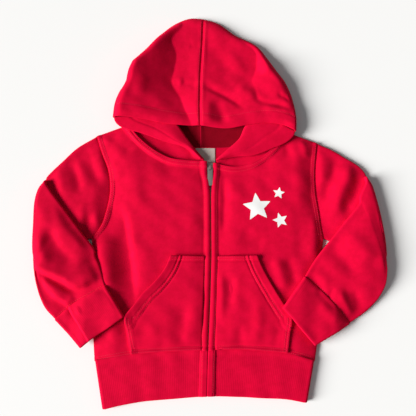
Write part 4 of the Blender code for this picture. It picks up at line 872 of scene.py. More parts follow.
def build_band():
    turn = (BAND_FRONT_MID - BAND_BACK_MID) / 2
    seam = spline([(r.x, r.seam_y - 0.35) for r in HEM], 160)
    free = spline([(r.edge_x, r.edge_y) for r in HEM], 160)
    rows, ribs = [], []
    n_rows = 25
    for k in range(n_rows + 1):
        v = k / n_rows
        line = seam * (1 - v) + free * v
        x0, x1 = line[0][0] + turn + RIB_WALL / 2, line[-1][0] - turn - RIB_WALL / 2
        xs_line, ys_line = line[:, 0], line[:, 1]
        y_mid = float(np.interp(0.0, xs_line, ys_line))
        zr, zl = zip_middle(y_mid) - zip_gap(y_mid), zip_middle(y_mid) + zip_gap(y_mid)
        nf, nb, nt = 210, 300, 10

        def y_of(x):
            return np.interp(x, xs_line, ys_line)

        def front(x, sign):
            z = BAND_FRONT_MID + 0.0 * x
            inner = np.abs(x - (zip_middle(y_mid)))
            edge = np.minimum(np.abs(x - x0), np.abs(x - x1))
            z = z + 1.9 * smooth((PLACKET + 2.6 - inner) / 2.2) - 0.7 * np.exp(-((inner - PLACKET) / 0.9) ** 2)
            z = z + 1.3 * smooth(edge / 40.0) * (0.4 + 0.6 * math.sin(math.pi * min(1.0, v * 1.15)))
            z = z + unevenness(x, y_of(x), 0.25) * smooth(edge / 16.0)
            z = z + 1.1 * (1 - smooth(v / 0.12)) * smooth(edge / 14.0)
            return z
        a = np.linspace(zr, x0, nf)
        row = [(x, y, z) for x, y, z in zip(a, y_of(a), front(a, -1))]
        for t in np.linspace(0, math.pi, nt)[1:-1]:
            row.append((x0 - turn * math.sin(t), float(y_of(x0)), BAND_FRONT_MID - turn + turn * math.cos(t)))
        b = np.linspace(x0, x1, nb)
        row += [(x, y, BAND_BACK_MID) for x, y in zip(b, y_of(b))]
        for t in np.linspace(0, math.pi, nt)[1:-1]:
            row.append((x1 + turn * math.sin(t), float(y_of(x1)), BAND_BACK_MID + turn - turn * math.cos(t)))
        c = np.linspace(x1, zl, nf)
        row += [(x, y, z) for x, y, z in zip(c, y_of(c), front(c, 1))]
        rows.append(row)
        p = np.array(row)
        step_len = np.concatenate([[0], np.cumsum(np.linalg.norm(np.diff(p, axis=0), axis=1))])
        phase = step_len / step_len[-1] * round(600.0 / RIB_PITCH) * 2 * math.pi
        taper = smooth(min(v, 1 - v) / 0.05 + 0.1)
        near_zip = np.minimum(step_len, step_len[-1] - step_len)
        ribs.append(-RIB_HIGH * taper * (0.5 - 0.5 * np.cos(phase)) * smooth((near_zip - PLACKET) / 2.0))
    v, f = Shell().add(np.array(rows), np.array(ribs)).mesh(RIB_WALL * 0.96, 0.5)
    v[:, 2] = np.maximum(v[:, 2], 0.0)
    return place("hem_band_cloth", v, f, rib_cloth, "hem_band")


# ==================================================================== sleeves
def fine_half(s_frac, n, swell_hi=ARM_PAD):
    return [ARM_EDGE + (swell_hi - ARM_EDGE) * s_frac * math.sin(math.pi * i / n) for i in range(n + 1)]


def build_sleeve(side, n_across=44, n_arm=36, n_turn=12, n_fore=50, rim=7):
    sign = -1 if side == "right" else 1
    edge = ARM_EDGE + WALL / 2
    fold_out = FOLD_IN + 2 * ARM_EDGE
    middle = (sign * 200.0, -30.0)
    hole = spline(pick(ARMHOLE, side)[::-1], n_across)
    hole = shrink_ends(hole + np.array([sign * 0.9, 0.0]), edge - 0.9)
    axis = shrink_ends(inset(spline(pick(ARM_FOLD, side), n_across), fold_out + WALL / 2, middle), edge)
    top = inset(spline(pick(ARM_TOP, side), n_arm), edge, middle)
    under = inset(spline(pick(ARM_UNDER, side), n_arm), edge, middle)
    top[0], top[-1], under[0], under[-1] = hole[0], axis[0], hole[-1], axis[-1]
    arm = coons(hole, axis, top, under)
    fore_line = spline(pick(FORE_TOP, side), 24)
    rings = []
    across = np.arange(n_across + 1) / n_across
    rimfade = smooth(np.minimum(across, 1 - across) / 0.09)
    for j, row in enumerate(arm):
        swell = math.sin(math.pi * min(1.0, j / n_arm))
        half = fine_half(swell, n_across)
        a, b = ends(row)
        ring = np.array(loop(row, [LOW + h for h in half], half, [UP] * len(row), a, b, rim))
        x, y = row[:, 0], row[:, 1]
        d, s, _ = dist_line(fore_line, x, y)
        inner = s * d * (1 if side == "right" else -1)       # positive outside the folded forearm
        shown = smooth((inner + 4.0) / 10.0)
        v = j / n_arm
        seam = 0.9 * math.exp(-((v * 90 - 0.5) / 1.6) ** 2)
        puff = (3.4 if side == "right" else 2.4) * smooth(np.minimum(across, 1 - across) / 0.32) * smooth(np.array(v / 0.22)) * (1 - smooth(np.array((v - 0.84) / 0.16)))
        lift = (puff + (relief("arm_" + side, x, y) + unevenness(x, y, 0.3)) * shown) * rimfade * smooth(np.array(v / 0.06)) - seam
        k = n_across + 1
        cap = 7.3 + 7.0 * (smooth((inner - 7.0) / 30.0) if side == "right" else smooth((inner - 0.5) / 12.0))
        ring[:k, 2] = np.clip(ring[:k, 2] + lift, LOW + 2.2, cap)
        rings.append(ring)
    a, b = ends(axis)
    r_mid = (fold_out + FOLD_IN) / 2
    z_axis = LOW + fold_out
    out = [np.append(unit(q - p), 0.0) for p, q in
           zip(axis, inset(axis, 1.0, (sign * 900.0, -30.0)))]
    for k in range(1, n_turn + 1):
        t = math.pi * k / n_turn
        reach = [0.15 + 0.85 * float(smooth(np.array(min(i, n_across - i) / (0.10 * n_across)))) for i in range(len(axis))]
        plan = [axis[i] + out[i][:2] * r_mid * math.sin(t) * reach[i] for i in range(len(axis))]
        height = [z_axis - r_mid * math.cos(t)] * len(axis)
        normal = [-math.sin(t) * out[i] + math.cos(t) * UP for i in range(len(axis))]
        rings.append(np.array(loop(plan, height, [ARM_EDGE] * len(axis), normal, a, b, rim)))
    top = inset(spline(pick(FORE_TOP, side), n_fore), edge, middle)
    under = inset(spline(pick(FORE_UNDER, side), n_fore), edge, middle)
    cuff = shrink_ends(spline(pick(CUFF_SEAM, side), n_across), edge)
    top[0], top[-1], under[0], under[-1] = axis[0], cuff[0], axis[-1], cuff[-1]
    for j, row in enumerate(coons(axis, cuff, top, under)):
        if j == 0:
            continue
        v = j / n_fore
        swell = math.sin(math.pi * v)
        half = fine_half(swell, n_across)
        a, b = ends(row)
        x, y = row[:, 0], row[:, 1]
        support = body_support(x, y) * smooth(np.array(v / 0.3))
        height = [z_axis + r_mid + half[i] - ARM_EDGE + fore_height(*row[i]) + support[i] for i in range(len(row))]
        ring = np.array(loop(row, height, half, [-UP] * len(row), a, b, rim))
        k = n_across + 1
        sl = slice(k + rim - 1, k + rim - 1 + k)            # far layer, from the under edge back
        xx, yy = ring[sl, 0], ring[sl, 1]
        puff = (3.6 if side == "right" else 2.5) * smooth(np.minimum(across, 1 - across) / 0.30) * smooth(np.array(v / 0.25)) * (1 - 0.6 * smooth(np.array((v - 0.7) / 0.3)))
        seam = 1.2 * math.exp(-(((1 - v) * 90 - 0.5) / 1.8) ** 2)
        lift = (puff + relief("fore_" + side, xx, yy) + unevenness(xx + 50, yy, 0.28)) * rimfade * (0.25 + 0.75 * smooth(np.array((1 - v) / 0.02))) * smooth(np.array(v / 0.08)) - seam
        floor_z = ring[:k, 2][::-1] + 2.2
        ring[sl, 2] = np.maximum(ring[sl, 2] + lift, floor_z)
        rings.append(ring)
    v, f = Shell().add(np.array(rings)).ease(3).mesh(WALL * 0.95)
    v[:, 2] = np.maximum(v[:, 2], 0.0)
    return place("sleeve_" + side + "_cloth", v, f, jersey, "sleeve_" + side)


UP = np.array([0.0, 0.0, 1.0])


def body_support(x, y):
    """How far the fronts and pockets lift what is folded over them."""
    z = np.zeros(np.shape(x))
    for side in ("right", "left"):
        sign = -1 if side == "right" else 1
        on = (np.asarray(x) * sign > 0)
        edge = np.interp(y, [r.y for r in SIDES], [abs(getattr(r, side)) for r in SIDES])
        inside = smooth((edge - np.abs(x)) / 40.0)
        z += np.where(on, 2.2 * inside, 0.0)
    return z


def build_cuff(side, n_across=150, n_long=18, rim=7):
    edge = CUFF_HALF + RIB_WALL / 2
    sign = -1 if side == "right" else 1
    seam = spline(pick(CUFF_SEAM, side), n_across)
    end = spline(pick(CUFF_END, side), n_across)
    seam = seam + (end - seam) * 0.004
    seam, end = shrink_ends(seam, edge - 0.9), shrink_ends(end, edge)
    base = LOW + 2 * (FOLD_IN + 2 * ARM_EDGE) - ARM_EDGE
    rings, ribs = [], []
    across = np.arange(n_across + 1) / n_across
    rimfade = smooth(np.minimum(across, 1 - across) / 0.07)
    for j in range(n_long + 1):
        v = j / n_long
        row = seam + (end - seam) * v
        a, b = ends(row)
        support = body_support(row[:, 0], row[:, 1])
        height = [base + 0.6 + fore_height(*row[i]) + support[i] for i in range(len(row))]
        ring = np.array(loop(row, height, [CUFF_HALF] * len(row), [-UP] * len(row), a, b, rim))
        k = n_across + 1
        sl = slice(k + rim - 1, k + rim - 1 + k)
        xx, yy = ring[sl, 0], ring[sl, 1]
        puff = (2.9 if side == "right" else 1.3) * smooth(np.minimum(across, 1 - across) / 0.30) * (1 - 0.65 * v)
        seam_dip = 1.3 * math.exp(-((v * 53) / 2.0) ** 2)
        lift = (puff + relief("cuff_" + side, xx, yy) + unevenness(xx, yy + 80, 0.3)) * rimfade - seam_dip
        ring[sl, 2] = np.maximum(ring[sl, 2] + lift, ring[:k, 2][::-1] + 3.1)
        rings.append(ring)
        total = len(ring) - 1
        phase = np.arange(len(ring)) / total * round(2 * 88.0 / RIB_PITCH) * 2 * math.pi
        taper = smooth(min(v, 1 - v) / 0.05 + 0.1)
        ribs.append(-RIB_HIGH * taper * (0.5 - 0.5 * np.cos(phase)))
    v, f = Shell().add(np.array(rings), np.array(ribs)).mesh(RIB_WALL * 0.96, 0.5)
    return place("cuff_" + side + "_cloth", v, f, rib_cloth, "cuff_" + side)


# ======================================================================= hood
Lie = namedtuple("Lie", "y crest_right crest_right_z dip_right dip_right_z seam_z dip_left dip_left_z crest_left crest_left_z")
LIES = [                                                  # how the empty hood lies, from its mouth to its crown
    Lie(111.1, -136.0, 19.0, -25.8, 12.5, 15.5, 9.4, 13.5, 116.6, 14),
    Lie(132.7, -133.0, 23.0, -35.5, 10.5, 16, 39.0, 13, 114.2, 15),
    Lie(156.0, -127.0, 26, -45.3, 9, 14, 71.8, 13, 110.4, 16),
    Lie(176.4, -120.5, 27.5, -56.7, 8, 12.5, 63.2, 11.5, 103.4, 17.5),
    Lie(198.5, -111.5, 28, -53.2, 7.5, 11, 70.3, 9.5, 93.5, 17),
    Lie(224.2, -97.5, 25.5, -50.5, 8, 10.5, 70.7, 9.5, 85.0, 15.5),
    Lie(246.8, -77.5, 20.5, -58.3, 9, 10, 46.1, 10.5, 58.2, 13),
    Lie(268.0, -47.9, 11, -41.7, 8.5, 9, 19.0, 9, 31.1, 9),
]
LIE_AT = {name: spline([(r.y, getattr(r, name)) for r in LIES], 90) for name in Lie._fields[1:]}
RIM_ROUND = 12.0


def lie(name, y):
    c = LIE_AT[name]
    return np.interp(y, c[:, 0], c[:, 1])


FINE_COUNT = Count(base=26, turn=9, mid=22, flap=26, rows=44, side=60, rim=7)


def hood_upper_height(x, y, side, d, low):
    """Height of the hood's upper layer: a full rim, a sunken flank and a seam down the middle."""
    seam = np.interp(y, [r.y for r in HOOD_SEAM], [r.x for r in HOOD_SEAM])
    crest, dip = lie("crest_" + side, y), lie("dip_" + side, y)
    crest_z, dip_z, seam_z = lie("crest_" + side + "_z", y), lie("dip_" + side + "_z", y), lie("seam_z", y)
    if side == "right":
        t = np.clip((x - crest) / (dip - crest), 0, 1)
        u = np.clip((x - dip) / (seam - dip), 0, 1)
        z = np.where(x < dip, crest_z + (dip_z - crest_z) * (0.85 * t + 0.15 * t ** 2.6), dip_z + (seam_z - dip_z) * (1 - (1 - u) ** 1.5))
    else:
        t = np.clip((x - seam) / (dip - seam), 0, 1)
        u = np.clip((x - dip) / (crest - dip), 0, 1)
        z = np.where(x < dip, seam_z + (dip_z - seam_z) * smooth(t), dip_z + (crest_z - dip_z) * (1 - (1 - u) ** 1.9))
    d_seam = np.abs(x - seam)
    calm = smooth(d / 9.0)
    z += relief("hood_" + side, x, y) * calm
    z += unevenness(x, y + 40.0, 0.30) * calm * smooth(d_seam / 8.0)
    z -= (1.9 if side == "right" else 1.2) * np.exp(-(d_seam / 1.7) ** 2)
    z += (0.45 if side == "left" else 0.2) * np.exp(-((d_seam - 4.2) / 2.4) ** 2)
    mouth = spline(pick(HOOD_MOUTH, side), 40)
    dm = dist_line(mouth, x, y)[0]
    z += 0.8 * smooth((18.6 - dm) / 2.2) - 1.1 * np.exp(-((dm - 17.2) / 1.05) ** 2)
    z += -2.0 * (1 - smooth(dm / 7.0))
    base = low + 2 * HOOD_EDGE
    q = np.clip(d / RIM_ROUND, 0, 1)
    return base + (np.maximum(z, base + 1.0) - base) * np.sqrt(np.maximum(1 - (1 - q) ** 2, 0))


def build_hood(side, n=FINE_COUNT):
    sign = -1 if side == "right" else 1
    edge = HOOD_EDGE + WALL / 2
    mid_pt = (sign * 62.0, 165.0)
    rim_side = inset(spline(pick(HOOD_SIDE, side), n.side), edge, mid_pt)
    cols = n.base + n.turn + 1 + (n.mid - 1) + n.turn + 1 + n.flap - 1
    half_gap = sign * 0.12
    hem = spline(pick(HOOD_HEM, side), n.rows)
    hem[0] = rim_side[0]
    roll = spline(pick(HOOD_ROLL, side), n.rows)
    tuck = spline(pick(HOOD_TUCK, side), n.rows)
    y_top = HOOD_TUCK[0].right_y if side == "right" else HOOD_TUCK[0].left_y
    cy = np.linspace(y_top, NECK_BACK[-1].right_y + 0.8, n.rows + 1)
    base = np.array([(seam_x(y) + half_gap, y) for y in cy])
    bline = spline(pick(NECK_BACK, side)[::-1], 60) + np.array([0.0, 0.7])
    fline = spline(pick(NECK_FRONT, side), 60)
    block = []
    for j in range(n.rows + 1):
        g = tuck_profile(base[j], tuck[j], roll[j], hem[j], 1.0, n)
        v = j / n.rows
        if v > 0.5:
            w = smooth(np.array((v - 0.5) / 0.5)) ** 2
            for i in range(cols + 1):
                x, y, z = g[i]
                if i <= n.base:
                    want = np.interp(sign * x, sign * bline[:, 0], bline[:, 1])
                    g[i][1] = y + (want - y) * w
                elif i > n.base + n.turn - 1 and z < TUCK_MID + 0.4:
                    want = np.interp(-sign * x, -sign * fline[:, 0], fline[:, 1]) + 0.6
                    g[i][1] = y + (want - y) * w
        block.append(g)
    c, f, r, e = base[0], tuck[0], roll[0], rim_side[0]
    row0 = []
    for k in range(cols + 1):
        if k < n.base:
            p, z = c + (f - c) * k / n.base, TUCK_LOW
        elif k <= cols - n.flap:
            t = (k - n.base) / (cols - n.flap - n.base)
            p, z = f + (r - f) * t, TUCK_LOW + (TUCK_HIGH - TUCK_LOW) * step(t)
        else:
            t = (k - cols + n.flap) / n.flap
            p, z = r + (e - r) * t, TUCK_HIGH
        row0.append((p[0], p[1], z))
    row0 = np.array(row0)
    ramp_rows = int(n.rows * 0.30)
    for j in range(ramp_rows):
        w = step(j / ramp_rows)
        shift = np.array([base[j][0] - base[0][0], base[j][1] - base[0][1], 0.0])
        block[j] = (1 - w) * (row0 + shift * 0.6) + w * block[j]
    block[0] = row0
    low = np.array(block)
    # lay the upper roll a little fuller and let the hem edge dip
    for j in range(1, n.rows + 1):
        v = j / n.rows
        g = low[j]
        x, y = g[:, 0], g[:, 1]
        flap = np.arange(cols + 1) > cols - n.flap - n.turn
        t = np.clip((np.arange(cols + 1) - (cols - n.flap)) / n.flap, 0, 1)
        bulge = 2.6 * np.sin(math.pi * np.clip(t * 0.9 + 0.12, 0, 1)) * math.sin(math.pi * min(1, 0.25 + 0.75 * (1 - v)))
        g[:, 2] += np.where(flap, bulge + unevenness(x, y, 0.35) * t * (1 - t) * 3, 0.0)
        g[:, 2] += np.where(flap, (0.7 * smooth((t - 0.55) / 0.1) - 0.8 * np.exp(-((t - 0.58) / 0.03) ** 2)) * (1 - v), 0.0)
        mid_layer = (np.arange(cols + 1) > n.base + n.turn) & ~flap
        g[:, 2] += np.where(mid_layer, unevenness(x * 1.4, y * 1.4, 0.3), 0.0)
        on_base = np.arange(cols + 1) < n.base // 2
        g[:, 2] += np.where(on_base, 1.3 * np.exp(-((x - base[j][0]) / 1.5) ** 2) * smooth(np.array(v / 0.2)), 0.0)
    first = low[0][:, :2]
    rim_top = inset(spline(pick(HOOD_TOP, side), cols), edge, mid_pt)
    rim_top[0] = rim_side[-1]
    rim_top[-1] = (seam_x(280.9) + half_gap, 280.9)
    cy2 = np.linspace(y_top, rim_top[-1][1], n.side + 1)
    centre = np.array([(seam_x(y) + half_gap, y) for y in cy2])
    under = coons(first, rim_top[::-1], centre, rim_side)
    lower = np.zeros((n.side + 1, cols + 1, 3))
    lower[..., :2] = under
    for j in range(n.side + 1):
        for i in range(cols + 1):
            lower[j, i, 2] = hood_floor(under[j, i, 0], under[j, i, 1], side)
    lower[0] = low[0]
    mouth = spline(pick(HOOD_MOUTH, side), cols)
    mouth[0] = rim_side[0]
    mouth[-1] = (seam_x(109.8) + half_gap, 109.8)
    cy3 = np.linspace(109.8, rim_top[-1][1], n.side + 1)
    centre3 = np.array([(seam_x(y) + half_gap, y) for y in cy3])
    over = coons(mouth[::-1], rim_top[::-1], centre3, rim_side)
    outline = np.vstack([rim_side, rim_top[1:]])
    x, y = over[..., 0], over[..., 1]
    d = dist_line(outline[::3], x, y)[0]
    d[:, -1] = 0
    d[-1, :] = 0
    floor_z = np.vectorize(lambda a, b: hood_floor(a, b, side))(x, y)
    rim_low = TUCK_LOW + (floor_z - TUCK_LOW) * np.exp(-d / 60.0)
    rim_low[:, -1] = lower[:, -1, 2]
    rim_low[-1, :] = lower[-1, :, 2]
    z = hood_upper_height(x, y, side, d, rim_low)
    z[:, -1] = rim_low[:, -1] + 2 * HOOD_EDGE
    z[-1, :] = rim_low[-1, :] + 2 * HOOD_EDGE
    upper = np.dstack([over, z])
    line_low = np.vstack([lower[:, -1], lower[-1][::-1][1:]])
    strip = []
    for k, p in enumerate(line_low):
        a, b = line_low[max(k - 2, 0)][:2], line_low[min(k + 2, len(line_low) - 1)][:2]
        dd = unit(b - a)
        nrm = np.array([-dd[1], dd[0]])
        if np.dot(nrm, p[:2] - np.array(mid_pt)) < 0:
            nrm = -nrm
        if k == len(line_low) - 1:
            nrm = np.array([0.0, 1.0])
        strip.append([(p[0] + nrm[0] * HOOD_EDGE * math.sin(math.pi * m / n.rim),
                       p[1] + nrm[1] * HOOD_EDGE * math.sin(math.pi * m / n.rim),
                       p[2] + HOOD_EDGE - HOOD_EDGE * math.cos(math.pi * m / n.rim)) for m in range(n.rim + 1)])
    # the tags mark the hood's inside faces, which get the painted shade
    shell = Shell().add(low, tag=n.base + n.turn // 2).add(lower, tag=cols + 1).add(np.array(strip)).add(upper)
    v, f = shell.ease(1).mesh(WALL * 0.95)
    v[:, 2] = np.maximum(v[:, 2], 0.0)
    obj = place("hood_" + side + "_cloth", v, f, jersey, "hood_" + side)
    # faces on the hood's inside take the darker red: painted shade
    obj.data.materials.append(painted_shade_cloth)
    for k in shell.painted_shade_faces:
        obj.data.polygons[k].material_index = 1
    return obj


# ======================================================================== zip
def build_zip():
    for side in ("right", "left"):
        sign = -1 if side == "right" else 1
        rows = []
        for y in np.linspace(-268.6, 49.0, 150):
            m = zip_middle(y)
            wide = 2.5 if y < 34 else 2.5 + (SLIDER_WIDE - 1.9) * step((y - 34) / 5.0)
            xs = np.linspace(m + sign * wide, m + sign * TAPE_OUT, 9)
            rows.append([(x, y, TAPE_Z + TAPE_T / 2 + 0.08 * math.sin(y * 0.4 + k)) for k, x in enumerate(xs)])
        v, f = Shell().add(np.array(rows)).mesh(TAPE_T * 0.9)
        place("zip_tape_" + side + "_cloth", v, f, tape_cloth, "zip_tape_" + side)
    # teeth, two interlocking rows
    bm = bmesh.new()
    pitch = 1.9
    count = int((CHAIN_TOP_Y + 267.5) / pitch)
    for k in range(count):
        y = -267.5 + (k + 0.5) * pitch
        s = -1 if k % 2 else 1
        m = zip_middle(y)
        x0, x1 = m - s * 0.7, m + s * CHAIN_HALF
        made = bmesh.ops.create_cube(bm, size=1.0)["verts"]
        for v in made:
            w = 0.42 if (v.co.x * s) < 0 else 0.30
            v.co = Vector(((x0 + x1) / 2 + v.co.x * abs(x1 - x0), y + v.co.y * 2 * w * pitch * 0.98,
                           CHAIN_Z + 0.08 + (v.co.z + 0.5) * (CHAIN_T + 0.35)))
    bmesh.ops.bevel(bm, geom=bm.edges[:], offset=0.16, segments=1, affect="EDGES")
    verts = [tuple(v.co) for v in bm.verts]
    bm.verts.index_update()
    faces = [[v.index for v in f.verts] for f in bm.faces]
    bm.free()
    chain = make_object("zip_teeth", verts, faces, steel, 40)
    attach(chain, "garment")
    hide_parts("zip_chain")
    for node, body in (("zip_slider", "garment"), ("zip_pull", "pull")):
        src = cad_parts[node]
        mesh = src.data.copy()
        mesh.name = node + "_metal"
        bm = bmesh.new()
        bm.from_mesh(mesh)
        bmesh.ops.remove_doubles(bm, verts=bm.verts[:], dist=0.00001)
        bmesh.ops.dissolve_limit(bm, angle_limit=math.radians(3), verts=bm.verts[:], edges=bm.edges[:])
        edges = [e for e in bm.edges if len(e.link_faces) == 2 and e.calc_face_angle(0) > math.radians(35)]
        bmesh.ops.bevel(bm, geom=edges, offset=0.00022, segments=2, profile=0.6, affect="EDGES", clamp_overlap=True)
        bmesh.ops.recalc_face_normals(bm, faces=bm.faces[:])
        bm.to_mesh(mesh)
        bm.free()
        mesh.materials.clear()
        mesh.materials.append(steel)
        mesh.shade_smooth()
        mesh.set_sharp_from_angle(angle=math.radians(32))
        obj = bpy.data.objects.new(node + "_metal", mesh)
        bpy.context.scene.collection.objects.link(obj)
        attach(obj, body)
        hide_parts(node)


def build_label():
    rows = []
    for y in np.linspace(43.5, 77.4, 24):
        xs = np.linspace(-20.6, 8.0, 20)
        rows.append([(x, y, LABEL_Z + 0.45 + 0.12 * math.sin(x * 0.35) * math.sin(y * 0.22)) for x in xs])
    v, f = Shell().add(np.array(rows)).mesh(0.7)
    place("neck_label_cloth", v, f, label_cloth, "neck_label")


# ==================================================================== details
def drop(tree, x, y, high=60.0):
    hit = tree.ray_cast(Vector((x, y, high)), Vector((0, 0, -1)))
    return (np.array(hit[0]), np.array(hit[1])) if hit[0] is not None else (None, None)


STITCHES = {}


def stitch_line(group, target, line, pitch=3.1, long=2.3, thick=0.34, sink=0.05, rise=0.10):
    """A row of stitches lying on the top of a piece along a plan line."""
    tree = TREES[target]
    line = np.asarray(line, float)
    s = np.concatenate([[0], np.cumsum(np.hypot(*np.diff(line, axis=0).T))])
    count = int(s[-1] / pitch)
    verts, faces = STITCHES.setdefault(group, ([], []))
    for k in range(count):
        mid = (k + 0.5) * pitch
        pts = []
        for t in (mid - long / 2, mid, mid + long / 2):
            x, y = np.interp(t, s, line[:, 0]), np.interp(t, s, line[:, 1])
            p, nrm = drop(tree, x, y)
            if p is None:
                break
            pts.append((p, nrm))
        if len(pts) < 3 or abs(pts[0][0][2] - pts[2][0][2]) > 2.0:
            continue
        along = unit(pts[2][0] - pts[0][0])
        nrm = pts[1][1]
        if nrm[2] < 0:
            nrm = -nrm
        cross = np.cross(nrm, along)
        base = len(verts)
        rings = ((0.0, 0.25, -sink), (0.22, 0.9, rise * 0.6), (0.5, 1.0, rise), (0.78, 0.9, rise * 0.6), (1.0, 0.25, -sink))
        for t, r, up in rings:
            c = pts[0][0] * (1 - t) + pts[2][0] * t + nrm * up
            for a in range(6):
                ang = a * math.pi / 3
                verts.append(c + (cross * math.cos(ang) + nrm * math.sin(ang) * 0.8) * thick * r)
        for q in range(4):
            for a in range(6):
                b = (a + 1) % 6
                faces.append([base + q * 6 + a, base + q * 6 + b, base + q * 6 + 6 + b, base + q * 6 + 6 + a])
        faces.append([base + a for a in range(5, -1, -1)])
        faces.append([base + 24 + a for a in range(6)])


def offset_line(line, amount, toward):
    return inset(np.asarray(line, float), amount, toward)


def sew():
    for side in ("right", "left"):
        sign = -1 if side == "right" else 1
        front, pocket = "front_" + side + "_cloth", "pocket_" + side + "_cloth"
        centre = (sign * 70.0, -60.0)
        y_top = pick(NECK_FRONT, side)[-1][1]
        stitch_line("stitches_front", front, zip_line(sign, -208.0, y_top - 2.0, 120, PLACKET - 1.4))
        arm = spline(pick(ARMHOLE, side), 60)
        for off in (1.2, 5.0):
            stitch_line("stitches_front", front, offset_line(arm, off, centre)[2:-1])
        neck = spline(pick(NECK_FRONT, side), 60)
        for off in (2.2, 6.6):
            stitch_line("stitches_front", front, offset_line(neck, off, (sign * 70.0, -200.0))[1:-2])
        for off in (1.2, 4.4):
            xa = -156.0 if side == "right" else 6.0
            xb = -8.0 if side == "right" else 142.0
            stitch_line("stitches_front", front, hem_line(xa, xb, 80) + np.array([0, off]))
            stitch_line("stitches_pocket", pocket, hem_line(xa, xb, 80) + np.array([0, off + 0.6]))
        outer = spline([(getattr(r, side), r.y) for r in POCKET], 90)
        slant = outer[outer[:, 1] > -170.0]
        mid = (sign * 40.0, -170.0)
        for off in (10.6, 15.2):
            stitch_line("stitches_pocket", pocket, offset_line(slant, off, mid)[4:])
        flank = outer[outer[:, 1] < -164.0]
        for off in (1.8, 5.2):
            stitch_line("stitches_pocket", pocket, offset_line(flank, off, mid)[1:-1])
        x_in, x_out = sign * 9.0, (-54.5 if side == "right" else 66.3)
        for off in (1.6, 5.0):
            xs = np.linspace(x_in, x_out - sign * 2.0, 40)
            stitch_line("stitches_pocket", pocket, np.column_stack([xs, np.full(40, -82.0 - off)]))
        mouth = spline(pick(HOOD_MOUTH, side), 60)
        stitch_line("stitches_hood", "hood_" + side + "_cloth", offset_line(mouth, 17.2, (0.0, 200.0))[3:])
        seam = np.array([(seam_x(y) + sign * 3.4, y) for y in np.linspace(114, 276, 80)])
        stitch_line("stitches_hood", "hood_" + side + "_cloth", seam)
        ys = np.linspace(-267.0, -212.0, 40)
        stitch_line("stitches_band", "hem_band_cloth",
                    [(zip_middle(y) + sign * (zip_gap(y) + PLACKET - 1.4), y) for y in ys])
        cuff = spline(pick(CUFF_SEAM, side), 40)
        stitch_line("stitches_cuff", "sleeve_" + side + "_cloth",
                    offset_line(cuff, 2.6, (sign * 230.0, -80.0))[2:-2])
    for name, (verts, faces) in STITCHES.items():
        if verts:
            obj = make_object(name, verts, faces, thread)
            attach(obj, "garment")


Star = namedtuple("Star", "x y radius waist turn")
STARS = [Star(68.0, -12.0, 21.5, 0.46, 6.0), Star(99.5, 8.5, 9.0, 0.46, -10.0), Star(101.0, -31.0, 11.5, 0.46, 16.0)]


def print_stars():
    """A plain white star print on the wearer's left chest, lying on the cloth."""
    tree = TREES["front_left_cloth"]
    verts, faces = [], []
    for s in STARS:
        rings, spokes = 12, 60
        base = len(verts)

        def radius(a):
            t = ((a / (2 * math.pi) * 10) % 2)
            t = t if t <= 1 else 2 - t
            r0, r1 = s.radius, s.radius * s.waist
            a_in = math.pi / 5
            px, py = r0, 0.0
            qx, qy = r1 * math.cos(a_in), r1 * math.sin(a_in)
            ang = t * a_in
            den = math.cos(ang) * (qy - py) - math.sin(ang) * (qx - px)
            return (px * (qy - py) - py * (qx - px)) / den
        layers = []
        for ring in range(rings + 1):
            row = []
            for k in range(spokes):
                a = 2 * math.pi * k / spokes
                r = radius(a) * ring / rings
                r = min(r, s.radius * 0.97)
                x = s.x + r * math.cos(a + math.pi / 2 + math.radians(s.turn))
                y = s.y + r * math.sin(a + math.pi / 2 + math.radians(s.turn))
                p, nrm = drop(tree, x, y)
                if p is None:
                    p = np.array([x, y, 9.0])
                row.append((x, y, p[2] + 0.16))
            layers.append(row)
        for row in layers:
            verts += row
        under = len(verts)
        verts += [(x, y, z - 0.13) for x, y, z in layers[-1]]
        for ring in range(rings):
            for k in range(spokes):
                b = (k + 1) % spokes
                faces.append([base + ring * spokes + k, base + ring * spokes + b,
                              base + (ring + 1) * spokes + b, base + (ring + 1) * spokes + k])
        last = base + rings * spokes
        for k in range(spokes):
            b = (k + 1) % spokes
            faces.append([last + k, last + b, under + b, under + k])
    obj = make_object("chest_stars", verts, faces, ink, 40)
    bm = bmesh.new()
    bm.from_mesh(obj.data)
    bmesh.ops.remove_doubles(bm, verts=bm.verts[:], dist=0.000002)
    bmesh.ops.recalc_face_normals(bm, faces=bm.faces[:])
    bm.to_mesh(obj.data)
    bm.free()
    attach(obj, "garment")


# ====================================================================== build
build_back()
for which in ("right", "left"):
    build_front(which)
for which in ("right", "left"):
    build_pocket(which)
build_band()
for which in ("right", "left"):
    build_sleeve(which)
    build_cuff(which)
    build_hood(which)
build_zip()
build_label()
sew()
print_stars()

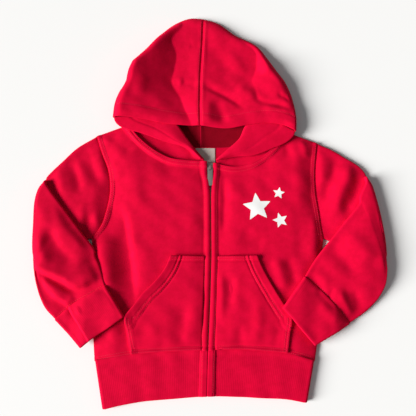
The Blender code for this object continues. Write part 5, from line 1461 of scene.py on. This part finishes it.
# ================================================================ floor, light
floor_mat = bpy.data.materials.new("pale_floor")
floor_mat.use_nodes = True
fnt = floor_mat.node_tree
fb = fnt.nodes["Principled BSDF"]
fb.inputs["Roughness"].default_value = 0.75
fn = fnt.nodes.new("ShaderNodeTexNoise")
fn.inputs["Scale"].default_value = 6.0
fr = fnt.nodes.new("ShaderNodeValToRGB")
fr.color_ramp.elements[0].color = (0.84, 0.84, 0.83, 1)
fr.color_ramp.elements[1].color = (0.88, 0.88, 0.87, 1)
fnt.links.new(fn.outputs["Fac"], fr.inputs["Fac"])
fnt.links.new(fr.outputs["Color"], fb.inputs["Base Color"])
fm = bpy.data.meshes.new("floor")
fm.from_pydata([(-6, -6, 0), (6, -6, 0), (6, 6, 0), (-6, 6, 0)], [], [[0, 1, 2, 3]])
fm.materials.append(floor_mat)
floor = bpy.data.objects.new("floor", fm)
floor.location.z = -0.0004
bpy.context.scene.collection.objects.link(floor)


sun = bpy.data.lights.new("window", "SUN")
sun.energy = 7.2
sun.angle = math.radians(30)
sun.color = (1.0, 0.99, 0.975)
lamp = bpy.data.objects.new("window", sun)
LIGHT_TURN, LIGHT_RISE = math.radians(194), math.radians(24)
lamp.rotation_euler = Vector((-math.cos(LIGHT_RISE) * math.cos(LIGHT_TURN), -math.cos(LIGHT_RISE) * math.sin(LIGHT_TURN),
                              -math.sin(LIGHT_RISE))).to_track_quat("-Z", "Y").to_euler()
bpy.context.scene.collection.objects.link(lamp)
world = bpy.data.worlds.new("studio")
bpy.context.scene.world = world
world.use_nodes = True
world.node_tree.nodes["Background"].inputs["Color"].default_value = (0.95, 0.97, 1.0, 1)
world.node_tree.nodes["Background"].inputs["Strength"].default_value = 0.19

cam_data = bpy.data.cameras.new("camera")
cam_data.sensor_width = 36.0
cam_data.lens = 500.0 / 416.0 * 36.0
cam = bpy.data.objects.new("camera", cam_data)
cam.location = ((-2.3 + SHIFT_X) * MM, (-131.2 + SHIFT_Y) * MM, 0.7175)
cam.rotation_euler = (math.radians(9.471), 0, 0)
bpy.context.scene.collection.objects.link(cam)
bpy.context.scene.camera = cam
bpy.context.scene.view_settings.view_transform = "Standard"
bpy.context.scene.view_settings.look = "None"
